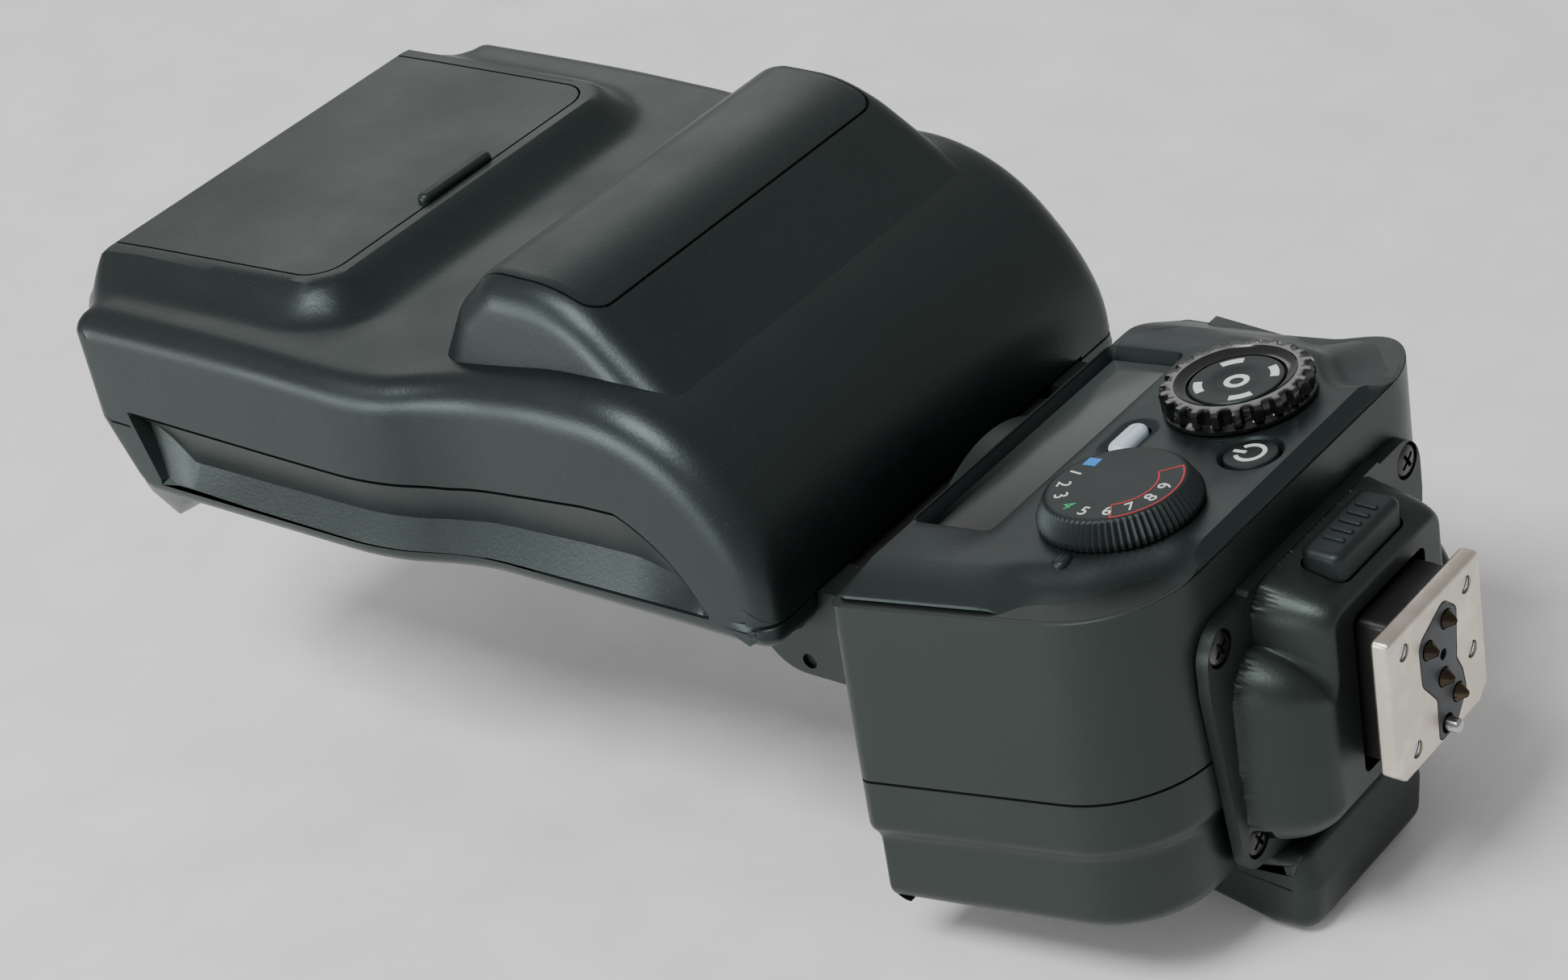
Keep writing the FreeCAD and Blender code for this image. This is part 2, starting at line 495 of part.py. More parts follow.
def headLoft(name, inset):
    """A closed loft through flat sections; inset shrinks it by the wall."""
    stations = [
        (size["headFront"], size["headHalf"] - 4.5, 25.5, platformLine(size["headFront"]), size["bellyLow"] + 2.5),
        (size["headFront"] + 5, size["headHalf"], 27.5, platformLine(size["headFront"] + 5), size["bellyLow"]),
        (-120, size["headHalf"], 27.5, platformLine(-120), size["bellyLow"]),
        (-108, size["headHalf"] - 0.6, 27.5, size["shoulderHigh"] + 0.6, size["bellyLow"]),
        (-96, size["headRearHalf"], 28.2, size["shoulderHigh"] + 1.8, size["bellyLow"]),
        (-79, size["headRearHalf"], 29.4, size["shoulderHigh"] + 2.8, size["bellyLow"]),
        (-70, size["headRearHalf"], 26.0, 28.6, size["bellyLow"]),
        (-63, size["headRearHalf"], 18.4, 21.5, size["bellyLow"] + 3),
        (size["headRear"], size["headRearHalf"] - 0.5, 12.4, 13.2, 5.4),
    ]
    wires = []
    for i, (x, wide, sideTop, top, low) in enumerate(stations):
        shift = inset if i == 0 else -inset if i == len(stations) - 1 else 0
        wide, sideTop, top, low = wide - inset, sideTop - inset, top - inset, low + inset
        sideLow = max(6.0 + inset, low + 0.4)
        soft = min(2.4, (sideTop - sideLow) / 3)
        corners = [(-wide, sideLow + soft), (-wide, sideTop - soft), (-wide + soft, sideTop), (-25, top), (25, top),
                   (wide - soft, sideTop), (wide, sideTop - soft), (wide, sideLow + soft), (wide - soft, sideLow),
                   (19, low), (-19, low), (-wide + soft, sideLow)]
        ring = [Vector(x + shift, y, z) for y, z in corners]
        wires.append(Part.makePolygon(ring + ring[:1]))
    obj = doc.addObject("Part::Feature", name)
    obj.Shape = Part.makeLoft(wires, True, True)
    return obj


headOuter = headLoft("headOuter", 0)
headInner = headLoft("headInner", wall)
humpTop = size["humpHigh"]
humpSide = [(-101.5, 27, 0), (-98.6, 34.5, 3), (-94, humpTop, 4), (-84, humpTop, 9), (-71.2, 29.2, 0), (-78, 24, 0)]
hump = raised("humpBlank", outline("humpSide", humpSide, sideView), 51, -25.5)
hump = rounded("humpRound", hump, 2.6, lambda m, e: abs(m.y) > 25.4 and m.z > 31)
coreTop = humpTop - wall - 0.1
humpCoreSide = [(-99.4, 24, 0), (-96.8, 33.5, 2), (-93, coreTop, 3), (-84.6, coreTop, 8), (-75.6, 29.6, 0), (-80, 22, 0)]
humpCore = raised("humpCore", outline("humpCoreSide", humpCoreSide, sideView), 47, -23.5)


def lensPlan(name, grow, deep, start):
    """The front window, with its lower corners cut to follow the belly."""
    wide, low, high = size["lensHalf"] + grow, size["lensLow"] - grow, size["lensHigh"] + grow
    return raised(name, outline(name + "Outline", [
        (-wide, high, 1.5), (wide, high, 1.5), (wide, low + 8.5, 2), (19.5, low, 2), (-19.5, low, 2),
        (-wide, low + 8.5, 2)], endView), deep, start)


frontOpening = lensPlan("frontOpening", 0.12, 12, -156)
slotOpening = block("slotOpening", (-156, -27.2, 25.4), (12, 54.4, 3.2))
hingeRoom = block("hingeRoom", (-67, -25.2, -8), (14, 50.4, 17.5))
hingeSweep = rod("hingeSweep", "cheekRadius + 0.45", 50.4, ("tiltAlong", -25.2, "tiltHigh"), alongY)
lowHalf = block("lowHalf", (-160, -45, -10), (110, 90, "headSeam + 10 - 0.02"))
highHalf = block("highHalf", (-160, -45, "headSeam"), (110, 90, 40))


def bayPlan(name, grow):
    """The inlaid plate on the platform, or the room for it."""
    reach = 24 + grow
    return raised(name + "Plan", outline(name + "Outline", [
        (-154, -reach, 0.3), (-122.6 + grow, -reach + 0.6, 4), (-122.6 + grow, reach - 0.6, 4),
        (-154, reach, 0.3)]), 6, 28)


def humpPlan(name, grow):
    reach = 21.8 + grow
    return raised(name + "Plan", outline(name + "Outline", [
        (-93.5 - grow, -reach, 2), (-85 + grow, -reach, 3), (-85 + grow, reach, 3), (-93.5 - grow, reach, 2)]), 6, 36)


bayRoom = shared("bayRoom", bayPlan("bayRoom", 0.15), band(
    "bayRoomBand", lambda x: platformLine(x) - 0.82, lambda x: platformLine(x) + 3, -156, -116))
humpRoom = shared("humpRoom", humpPlan("humpRoom", 0.15), block("humpRoomSlab", (-100, -30, "humpHigh - 0.72"), (30, 60, 3)))
headSkin = trimmed("headSkin", joined("headBlank", headOuter, hump), joined("headHollow", headInner, humpCore),
                   frontOpening, slotOpening, hingeRoom, hingeSweep, bayRoom, humpRoom)
node("head_upper_shell", shared("headUpper", headSkin, highHalf))
node("head_lower_shell", shared("headLower", headSkin, lowHalf))

ribLow = platformLine(-125) + 0.02
node("panel_bay_cover", shared("bayCover", bayPlan("bayCover", 0), band(
    "bayCoverBand", lambda x: platformLine(x) - 0.8, platformLine, size["headFront"], -116)))
node("grip_rib", joined("gripRib", block("ribBar", (-126.2, -5, ribLow), (1.6, 10, 0.9)),
                        *[rod(f"ribEnd{i}", 0.8, 0.9, (-125.4, y, ribLow)) for i, y in enumerate((-5, 5))]))
node("hump_cover", shared("humpPlate", humpPlan("humpCover", 0), block("humpCoverSlab", (-100, -30, "humpHigh - 0.7"), (30, 60, 0.7))))


# ---- inside the head ---------------------------------------------------------------------------

node("flash_lens", lensPlan("flashLens", 0, "lensThick", -151.7))
node("wide_panel", joined("widePanel", block("widePanelSheet", (-152.2, -26.4, 25.8), (35, 52.8, 1.2)),
                          block("widePanelLip", (-153.6, -24, 25.8), (1.5, 48, 1.2))))
node("bounce_card", joined("bounceCard", block("bounceCardSheet", (-152.2, -26.4, 27.4), (35, 52.8, 0.6)),
                           block("bounceCardLip", (-153.6, -8, 27.4), (1.5, 16, 0.9))))

tubeHigh = 14.2
reflectorBlank = doc.addObject("Part::Wedge", "reflectorBlank")
for prop, value in dict(Xmin=-26, Xmax=26, Zmin=4.8, Zmax=23.6, X2min=-25, X2max=25,
                        Z2min=9.2, Z2max=19.2, Ymin=0, Ymax=15).items():
    setattr(reflectorBlank, prop, value)
place(reflectorBlank, (-127.5, 0, 0), Rotation(Vector(0, 0, 1), -90))
reflectorCore = doc.addObject("Part::Wedge", "reflectorCore")
for prop, value in dict(Xmin=-25.4, Xmax=25.4, Zmin=5.4, Zmax=23.0, X2min=-24.4, X2max=24.4,
                        Z2min=9.8, Z2max=18.6, Ymin=0, Ymax=14.4).items():
    setattr(reflectorCore, prop, value)
place(reflectorCore, (-127.51, 0, 0), Rotation(Vector(0, 0, 1), -90))
node("reflector", trimmed("reflectorTrough", reflectorBlank, reflectorCore,
                          rod("reflectorTubeHole", "tubeRadius + 0.2", 60, (-115.8, -30, tubeHigh), alongY)))
tube = rod("tubeGlass", "tubeRadius", 53, (-115.8, -26.5, tubeHigh), alongY)
node("flash_tube", tube)
node("tube_boots", joined("tubeBoots", *[
    trimmed(f"tubeBoot{i}", rod(f"tubeBootRod{i}", 2.9, 2.6, (-115.8, y, tubeHigh), alongY),
            rod(f"tubeBootBore{i}", "tubeRadius", 4, (-115.8, y - 0.5, tubeHigh), alongY))
    for i, y in enumerate((-28.6, 26.0))]))
carriage = block("carriagePlate", (-112.4, -29.2, 7.6), (3.0, 58.4, 16))
arms = [block(f"carriageArm{i}", (-118.6, y, 10.2), (6.4, 0.9, 8)) for i, y in enumerate((-29.6, 28.7))]
guidePlaces = [(-30.6, 19.6), (30.6, 19.6)]
screwSide, screwHigh = -12, 2.8
ears = [rod(f"carriageEar{i}", 2.3, 3.0, (-112.4, y, z), alongX) for i, (y, z) in enumerate(guidePlaces)]
nut = block("carriageNut", (-112.4, screwSide - 3, -0.4), (3.0, 6, 8.4))
node("zoom_carriage", trimmed("zoomCarriage", joined("carriageBlank", carriage, nut, *arms, *ears),
                              rods("carriageBore", 1.3, 6, guidePlaces, -114),
                              rod("nutBore", "screwRadius + 0.1", 6, (-114, screwSide, screwHigh), alongX)))
node("guide_rods", rods("guideRod", 1.2, 38, guidePlaces, -146.2))
node("lead_screw", rod("leadScrew", "screwRadius", 38.6, (-146, screwSide, screwHigh), alongX))
node("zoom_motor", trimmed("zoomMotor", block("motorCan", (-106.6, screwSide - 5, screwHigh - 4.6), (12, 10, 9.6)),
                           rod("motorBore", 1.3, 4, (-108, screwSide, screwHigh), alongX)))
node("main_capacitor", rod("mainCapacitor", "capRadius", "capLength", (-87, "-capLength / 2", 23.6), alongY))
node("head_board", block("headBoard", (-92, -23, 4.4), (18, 46, 1.2)))
node("trigger_coil", block("triggerCoil", (-90, -21, 5.65), (9, 11, 6)))
feet = [block(f"frameFoot{i}", (-149.3, y, 12.4), (2.4, 3.4, 8.6)) for i, y in enumerate((-32.6, 29.2))]
node("lens_clips", joined("lensClips", *feet))

# ---- check every piece, then write it -----------------------------------------------------------

doc.recompute()
faults = [o.Name for o in doc.Objects if "Invalid" in o.State or "Error" in o.State]
if faults:
    raise SystemExit(f"objects that failed: {faults}")
os.makedirs("parts", exist_ok=True)
for name, obj in nodes.items():
    shape = obj.Shape
    if shape.isNull() or not shape.isValid() or not shape.Solids:
        raise SystemExit(f"{name} has no valid solid")
    shape.exportStep(f"parts/{name}.step")
    box = shape.BoundBox
    print(f"{name:18s} solids {len(shape.Solids):3d} volume {shape.Volume:9.1f} "
          f"x {box.XMin:7.1f} {box.XMax:7.1f} y {box.YMin:6.1f} {box.YMax:6.1f} z {box.ZMin:6.1f} {box.ZMax:6.1f}")
print(len(nodes), "nodes")
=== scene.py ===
import math
import bmesh
import bpy
from mathutils import Matrix, Vector
from mathutils.geometry import delaunay_2d_cdt


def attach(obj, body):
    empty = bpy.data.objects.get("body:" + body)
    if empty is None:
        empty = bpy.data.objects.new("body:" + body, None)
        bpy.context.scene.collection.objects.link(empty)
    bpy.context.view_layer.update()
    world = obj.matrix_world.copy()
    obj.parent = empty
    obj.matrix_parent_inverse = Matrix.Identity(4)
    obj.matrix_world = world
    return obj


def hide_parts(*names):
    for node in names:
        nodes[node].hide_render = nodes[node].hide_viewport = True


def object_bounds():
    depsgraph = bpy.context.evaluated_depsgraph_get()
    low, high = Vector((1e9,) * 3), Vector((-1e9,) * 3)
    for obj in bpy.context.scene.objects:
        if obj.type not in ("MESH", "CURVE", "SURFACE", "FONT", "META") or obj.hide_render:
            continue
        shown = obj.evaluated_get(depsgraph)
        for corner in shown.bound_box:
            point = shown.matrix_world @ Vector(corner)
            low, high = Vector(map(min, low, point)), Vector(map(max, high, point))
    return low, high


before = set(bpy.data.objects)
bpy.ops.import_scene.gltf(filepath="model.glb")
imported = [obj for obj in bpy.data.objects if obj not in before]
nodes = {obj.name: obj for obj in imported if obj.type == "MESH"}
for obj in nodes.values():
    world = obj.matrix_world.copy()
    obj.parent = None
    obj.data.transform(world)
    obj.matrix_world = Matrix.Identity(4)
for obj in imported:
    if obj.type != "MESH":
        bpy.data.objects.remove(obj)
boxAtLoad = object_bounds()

# Shoe-mount flash. Lengths here are in millimetres, and makePiece turns them into metres.

mm = 0.001
scene = bpy.context.scene


# materials

# A hex sRGB colour as linear values with alpha.
def toLinear(code):
    parts = [int(code[i:i + 2], 16) / 255 for i in (1, 3, 5)]
    return [c / 12.92 if c <= 0.04045 else ((c + 0.055) / 1.055) ** 2.4 for c in parts] + [1.0]


# Adds a shader node; an input is a value, or an output to link from.
def addNode(tree, kind, settings=None, **inputs):
    made = tree.nodes.new(kind)
    for key, value in (settings or {}).items():
        setattr(made, key, value)
    for key, value in inputs.items():
        socket = made.inputs[int(key[1:])] if key[1:].isdigit() else made.inputs[key.replace("_", " ")]
        if isinstance(value, bpy.types.NodeSocket):
            tree.links.new(value, socket)
        else:
            socket.default_value = value
    return made


def newMaterial(name):
    made = bpy.data.materials.new(name)
    made.use_nodes = True
    tree = made.node_tree
    return made, tree, tree.nodes["Principled BSDF"], addNode(tree, "ShaderNodeTexCoord").outputs["Object"]


def mixed(tree, part, first, second):
    return addNode(tree, "ShaderNodeMix", {"data_type": "RGBA"}, Factor=part, i6=first, i7=second).outputs[2]


def scaled(base, factor):
    return [c * factor for c in base[:3]] + [1.0]


def addBump(tree, shader, height, strength, depth):
    bump = addNode(tree, "ShaderNodeBump", Strength=strength, Distance=depth * mm, Height=height).outputs[0]
    tree.links.new(bump, shader.inputs["Normal"])


# Noise whose features are about size millimetres across.
def noise(tree, where, size, detail=3.0, roughness=0.55):
    return addNode(tree, "ShaderNodeTexNoise", Vector=where, Scale=1 / (size * mm), Detail=detail,
        Roughness=roughness).outputs[0]


def mapped(tree, value, low, high, fromLow=0.3, fromHigh=0.7):
    return addNode(tree, "ShaderNodeMapRange", i0=value, i1=fromLow, i2=fromHigh, i3=low, i4=high).outputs[0]


# A moulded surface: fine grain in the bump, slow drift in tone and gloss, faint dust.
def grained(name, code, roughness, size=0.35, depth=0.03, spread=0.06, metallic=0.0, ior=1.46, coat=0.0,
        fleck=0.0, tint="#ffffff"):
    made, tree, shader, where = newMaterial(name)
    drift = noise(tree, where, 14.0, 4.0)
    fine = noise(tree, where, size, 2.0, 0.6)
    base = toLinear(code)
    tone = mixed(tree, drift, scaled(base, 0.86), scaled(base, 1.14))
    if fleck:
        spots = addNode(tree, "ShaderNodeTexVoronoi", Vector=where, Scale=1 / (0.55 * mm)).outputs["Distance"]
        dust = mapped(tree, spots, 1.0, 0.0, 0.05, 0.11)
        pale = [min(1.0, c + 0.10 * fleck) for c in base[:3]] + [1.0]
        tone = mixed(tree, dust, tone, pale)
    tree.links.new(tone, shader.inputs["Base Color"])
    gloss = mapped(tree, drift, roughness - spread, roughness + spread)
    tree.links.new(gloss, shader.inputs["Roughness"])
    addBump(tree, shader, fine, 0.5, depth)
    shader.inputs["Metallic"].default_value = metallic
    shader.inputs["IOR"].default_value = ior
    shader.inputs["Coat Weight"].default_value = coat
    shader.inputs["Specular Tint"].default_value = toLinear(tint)
    shader.inputs["Coat Roughness"].default_value = 0.15
    return made


# Metal with fine lines that run along one axis, and patches where the finish has rubbed.
def brushed(name, code, roughness, along, depth=0.02, wear=0.0, worn="#b9b2a6"):
    made, tree, shader, where = newMaterial(name)
    stretch = [1.0, 1.0, 1.0]
    stretch["xyz".index(along)] = 0.04
    lines = noise(tree, addNode(tree, "ShaderNodeMapping", Vector=where, Scale=stretch).outputs[0], 0.12, 2.0)
    drift = noise(tree, where, 4.0, 5.0)
    base = toLinear(code)
    tone = mixed(tree, drift, scaled(base, 0.82), base)
    if wear:
        rubbed = mapped(tree, drift, 0.0, wear, 0.5, 0.75)
        tone = mixed(tree, rubbed, tone, toLinear(worn))
    tree.links.new(tone, shader.inputs["Base Color"])
    tree.links.new(mapped(tree, lines, roughness - 0.07, roughness + 0.07), shader.inputs["Roughness"])
    addBump(tree, shader, lines, 0.4, depth)
    shader.inputs["Metallic"].default_value = 1.0
    return made


# Glass or clear plastic with a trace of uneven polish.
def clear(name, code, roughness, ior, alpha=1.0, transmission=1.0):
    made, tree, shader, where = newMaterial(name)
    haze = noise(tree, where, 9.0, 3.0)
    tree.links.new(mapped(tree, haze, max(0.0, roughness - 0.02), roughness + 0.03),
        shader.inputs["Roughness"])
    shader.inputs["Base Color"].default_value = toLinear(code)
    shader.inputs["IOR"].default_value = ior
    shader.inputs["Transmission Weight"].default_value = transmission
    shader.inputs["Alpha"].default_value = alpha
    return made


# black ABS with a fine spark-eroded grain, on the body and the head
bodyPlastic = grained("blackAbsGrain", "#171b1a", 0.42, 0.42, 0.045, 0.05, fleck=0.25, tint="#e9fdf7")
headPlastic = grained("blackAbsFineGrain", "#151a1a", 0.38, 0.38, 0.035, 0.05, fleck=0.5, tint="#e6fcf8")
# the same ABS with a smoother face, on the control panel
panelPlastic = grained("blackAbsSatin", "#131717", 0.44, 0.30, 0.02, 0.05, tint="#e4fcfb")
# smooth black ABS on the buttons and the dial rims
dialPlastic = grained("dialAbs", "#141717", 0.48, 0.25, 0.02, 0.05, tint="#e6fbfa")
glossPlastic = grained("mouldedGlossAbs", "#101011", 0.14, 2.5, 0.01, 0.04, coat=0.4)
# black painted zinc on the shoe neck; on the tilt bracket the same dark finish is painted shade
neckMetalAndShade = grained("blackPaintedZincAndShade", "#141414", 0.42, 0.2, 0.02, 0.06)
# nickel-plated brass foot
nickel = brushed("nickelPlate", "#d6cebf", 0.36, "z", 0.02, 0.6, "#ece6da")
zincScrew = brushed("blackZincScrew", "#4a4a4b", 0.34, "y", 0.02, 0.2)
brightSteel = brushed("brightSteel", "#bcbcbe", 0.2, "x", 0.01)
# gold-plated contacts, dulled to bronze
dullGold = brushed("darkBronze", "#3f382e", 0.28, "x", 0.01, 0.4, "#6f624c")
contactPlastic = grained("greyNylon", "#2b2e33", 0.44, 0.25, 0.02, 0.05)
boardEpoxy = grained("greenBoard", "#1d5a34", 0.35, 0.6, 0.02)
cellWrap = grained("printedFilm", "#5b6470", 0.3, 1.5, 0.01)
cageNylon = grained("darkNylon", "#2c2d2e", 0.55, 0.4, 0.03)
mirrorSheet = brushed("brightAluminium", "#e6e6e3", 0.09, "x", 0.005)
redAcrylic = clear("redAcrylic", "#5a0508", 0.05, 1.49, 1.0, 0.6)
redLamp = clear("redEpoxy", "#c8281e", 0.1, 1.5, 1.0, 0.5)
lensAcrylic = clear("clearAcrylic", "#f4f7f7", 0.06, 1.49)
milkyAcrylic = clear("milkyAcrylic", "#e6ecec", 0.25, 1.49, 1.0, 0.7)
quartz = clear("quartz", "#f6f8fa", 0.02, 1.46)
whiteCard = grained("whiteCard", "#e8e8e5", 0.6, 0.4, 0.01)
whiteNylon = grained("whiteNylon", "#dededa", 0.45, 0.4, 0.02)
silicone = grained("paleSilicone", "#c6c3b8", 0.5, 0.5, 0.02)
shrinkSleeve = grained("shrinkSleeve", "#17171f", 0.28, 2.0, 0.02)
coilTape = grained("coilTape", "#8a7c2c", 0.4, 1.2, 0.02)
lcdGlass = grained("greyDisplayWindow", "#131616", 0.12, 30.0, 0.001, 0.02, ior=1.25)
# painted reflection: the window's base colour turns paler towards its far end, standing in for what it
# reflects there
tree = lcdGlass.node_tree
where = addNode(tree, "ShaderNodeTexCoord").outputs["Object"]
across = addNode(tree, "ShaderNodeSeparateXYZ", i0=where).outputs["Y"]
paintedReflection = mapped(tree, across, 0.0, 1.0, -0.016, 0.02)
tone = mixed(tree, paintedReflection, toLinear("#0c0f0f"), toLinear("#454b4a"))
tree.links.new(tone, tree.nodes["Principled BSDF"].inputs["Base Color"])
lcdCell = grained("displayCell", "#5c6055", 0.3, 3.0, 0.005)
whiteInk = grained("whiteInk", "#d9dcdc", 0.5, 0.4, 0.01)
redInk = grained("redInk", "#b1282c", 0.5, 0.4, 0.01)
blueInk = grained("blueInk", "#1f7fd0", 0.5, 0.4, 0.01)
greenInk = grained("greenInk", "#27a05a", 0.5, 0.4, 0.01)
milkyButton = grained("milkyPolycarbonate", "#b9c9d3", 0.3, 0.8, 0.01, ior=1.58)
bodySkin = (bodyPlastic, "body", "body_plastic")
headSkin = (headPlastic, "head", "head_plastic")
panelSkin = (panelPlastic, "body", "panel_plastic")
knobSkin = ("mode_knob", "dial_plastic")
discInk = (whiteInk, "select", "disc_plastic")
print("materials made")


# mesh helpers

smoothBelow = {}


# An object from points in millimetres, its faces turned outward; points nearer than weld are joined.
def meshObject(name, points, faces, weld=None):
    mesh = bpy.data.meshes.new(name)
    mesh.from_pydata([Vector(p) * mm for p in points], [], faces)
    work = bmesh.new()
    work.from_mesh(mesh)
    if weld:
        bmesh.ops.remove_doubles(work, verts=work.verts, dist=weld * mm)
    if weld is not None:
        bmesh.ops.dissolve_degenerate(work, edges=work.edges, dist=1e-7)
    bmesh.ops.recalc_face_normals(work, faces=work.faces)
    work.to_mesh(mesh)
    work.free()
    obj = bpy.data.objects.new(name, mesh)
    scene.collection.objects.link(obj)
    return obj


def shadeSmooth(obj):
    obj.data.polygons.foreach_set("use_smooth", [True] * len(obj.data.polygons))
    obj.data.set_sharp_from_angle(angle=smoothBelow[obj.name])


# Makes one piece, shaded smooth below the given angle.
def makePiece(name, points, faces, material, body, slotName, stands=(), smooth=28, weld=0.004):
    obj = meshObject(name, points, [f for f in faces if len(set(f)) > 2], weld)
    obj.data.materials.append(material)
    smoothBelow[obj.name] = math.radians(smooth)
    shadeSmooth(obj)
    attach(obj, body)
    if stands:
        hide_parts(*stands)
    return obj


# Takes closed cutters out of a piece, then removes the cutters.
def cutWith(obj, *cutters):
    for cutter in cutters:
        change = obj.modifiers.new("cut", "BOOLEAN")
        change.operation = "DIFFERENCE"
        change.solver = "EXACT"
        change.object = cutter
    bpy.context.view_layer.update()
    graph = bpy.context.evaluated_depsgraph_get()
    made = bpy.data.meshes.new_from_object(obj.evaluated_get(graph))
    obj.modifiers.clear()
    obj.data = made
    shadeSmooth(obj)
    for cutter in cutters:
        bpy.data.objects.remove(cutter)


def loose(points, faces):
    return meshObject("cutter", points, faces)


# Points and faces of a skin through loops of equal length.
def bridge(loops, closeEnds=True, joinLast=False):
    count = len(loops[0])
    points = [p for loop in loops for p in loop]
    faces = []
    rows = len(loops)
    for i in range(rows if joinLast else rows - 1):
        a, b = i * count, (i + 1) % rows * count
        for j in range(count):
            k = (j + 1) % count
            faces.append((a + j, a + k, b + k, b + j))
    if closeEnds and not joinLast:
        faces.append(tuple(range(count))[::-1])
        faces.append(tuple(range((rows - 1) * count, rows * count)))
    return points, faces


# A closed 2D outline from (x, y, radius) corners.
def roundOutline(corners, steps=8):
    points = []
    count = len(corners)
    for i, (x, y, radius) in enumerate(corners):
        here = Vector((x, y))
        back = (Vector(corners[i - 1][:2]) - here).normalized()
        on = (Vector(corners[(i + 1) % count][:2]) - here).normalized()
        if radius <= 0:
            points.append(here)
            continue
        half = back.angle(on) / 2
        reach = radius / math.tan(half)
        centre = here + (back + on).normalized() * (radius / math.sin(half))
        first, last = here + back * reach - centre, here + on * reach - centre
        turn = first.angle_signed(last)
        for j in range(steps + 1):
            part = -turn * j / steps
            spun = Vector((first.x * math.cos(part) - first.y * math.sin(part),
                first.x * math.sin(part) + first.y * math.cos(part)))
            points.append(centre + spun)
    return points


# The closed 2D loop moved inward by depth, which may differ from point to point.
def insetLoop(loop, depth):
    count = len(loop)
    area = sum(loop[i - 1][0] * loop[i][1] - loop[i][0] * loop[i - 1][1] for i in range(count))
    side = 1 if area > 0 else -1
    made = []
    for i in range(count):
        before, here, after = Vector(loop[i - 1]), Vector(loop[i]), Vector(loop[(i + 1) % count])
        a = (here - before).normalized()
        b = (after - here).normalized()
        normal = Vector((-a.y - b.y, a.x + b.x))
        normal = normal.normalized() * side if normal.length > 1e-9 else Vector((-a.y, a.x)) * side
        lean = max(0.4, math.sqrt(max(0.0, (1 + a.dot(b)) / 2)))
        amount = depth[i] if isinstance(depth, list) else depth
        made.append(here + normal * (amount / lean))
    return made


def roundBox(xa, ya, xb, yb, radius, steps):
    return roundOutline([(xa, ya, radius), (xb, ya, radius), (xb, yb, radius), (xa, yb, radius)], steps)


def circle(x, y, radius, count=48):
    return [Vector((x + radius * math.cos(math.tau * i / count), y + radius * math.sin(math.tau * i / count)))
        for i in range(count)]


def insideLoop(loop, x, y):
    hit = False
    for i, a in enumerate(loop):
        b = loop[i - 1]
        if (a.y > y) != (b.y > y) and x < (b.x - a.x) * (y - a.y) / (b.y - a.y) + a.x:
            hit = not hit
    return hit


def ringLinks(start, count):
    return [(start + i, start + (i + 1) % count) for i in range(count)]


# Points and faces that fill the outline made by the first count points.
def filled(flat, links, count):
    made = delaunay_2d_cdt(flat, links, [list(range(count))], 1, 1e-4)
    return made[0], made[2]


def smoothStep(value):
    value = max(0.0, min(1.0, value))
    return value * value * (3 - 2 * value)


# Straight-line reading of a table of (x, value) rows.
def along(table, x):
    if x <= table[0][0]:
        return table[0][1]
    for (xa, va), (xb, vb) in zip(table, table[1:]):
        if x <= xb:
            return va + (vb - va) * (x - xa) / (xb - xa)
    return table[-1][1]


# Smooth reading of the same kind of table.
def curved(table, x):
    if x <= table[0][0]:
        return table[0][1]
    for i in range(len(table) - 1):
        (xa, va), (xb, vb) = table[i], table[i + 1]
        if x <= xb:
            before = table[i - 1] if i else table[i]
            after = table[i + 2] if i + 2 < len(table) else table[i + 1]
            span = xb - xa
            ma = (vb - before[1]) / (xb - before[0]) * span
            mb = (after[1] - va) / (after[0] - xa) * span
            t = (x - xa) / span
            return ((2 * t ** 3 - 3 * t * t + 1) * va + (t ** 3 - 2 * t * t + t) * ma
                    + (3 * t * t - 2 * t ** 3) * vb + (t ** 3 - t * t) * mb)
    return table[-1][1]


def spaced(low, high, step):
    count = max(1, round((high - low) / step))
    return [low + (high - low) * i / count for i in range(count + 1)]


# camera, light and floor

eye = Vector((170.51, -283.61, 231.83)) * mm
ahead = Vector((-0.5670, 0.6386, -0.5203)).normalized()
above = Vector((-0.2116, 0.4976, 0.8412))
right = ahead.cross(above).normalized()
above = right.cross(ahead).normalized()
cameraData = bpy.data.cameras.new("camera")
camera = bpy.data.objects.new("camera", cameraData)
camera.matrix_world = Matrix((right, above, -ahead)).transposed().to_4x4()
camera.location = eye
cameraData.lens = 92.5
cameraData.sensor_width = 36
cameraData.dof.use_dof = False
cameraData.clip_start, cameraData.clip_end = 0.01, 10
scene.collection.objects.link(camera)
scene.camera = camera

floorLow = boxAtLoad[0].z - 0.0002
floorMesh = bpy.data.meshes.new("floor")
floorMesh.from_pydata([(-3, -3, floorLow), (3, -3, floorLow), (3, 3, floorLow), (-3, 3, floorLow)], [],
    [(0, 1, 2, 3)])
floor = bpy.data.objects.new("floor", floorMesh)
scene.collection.objects.link(floor)
floorMesh.materials.append(grained("paleSweep", "#f2f2f1", 0.8, 4.0, 0.01))


def softLight(name, at, to, wide, high, power):
    data = bpy.data.lights.new(name, "AREA")
    data.shape = "RECTANGLE"
    data.size, data.size_y, data.energy = wide, high, power
    light = bpy.data.objects.new(name, data)
    light.location = at
    light.rotation_euler = (Vector(to) - Vector(at)).to_track_quat("-Z", "Y").to_euler()
    scene.collection.objects.link(light)


softLight("keySoftbox", (-0.10, -0.52, 0.80), (-0.06, 0, 0), 0.42, 0.30, 8.5)
softLight("backSoftbox", (-0.62, 0.62, 0.50), (-0.10, 0, 0), 0.5, 0.4, 0.9)
softLight("frontSoftbox", (-0.45, -0.85, 0.06), (-0.08, 0, 0), 0.7, 0.35, 8)
world = bpy.data.worlds.new("studio")
scene.world = world
world.use_nodes = True
world.node_tree.nodes["Background"].inputs[0].default_value = toLinear("#ffffff")
world.node_tree.nodes["Background"].inputs[1].default_value = 0.42
print("stage set")


# flash head
# Side profile of the head: the top line falls in a round arc to the rear wall.

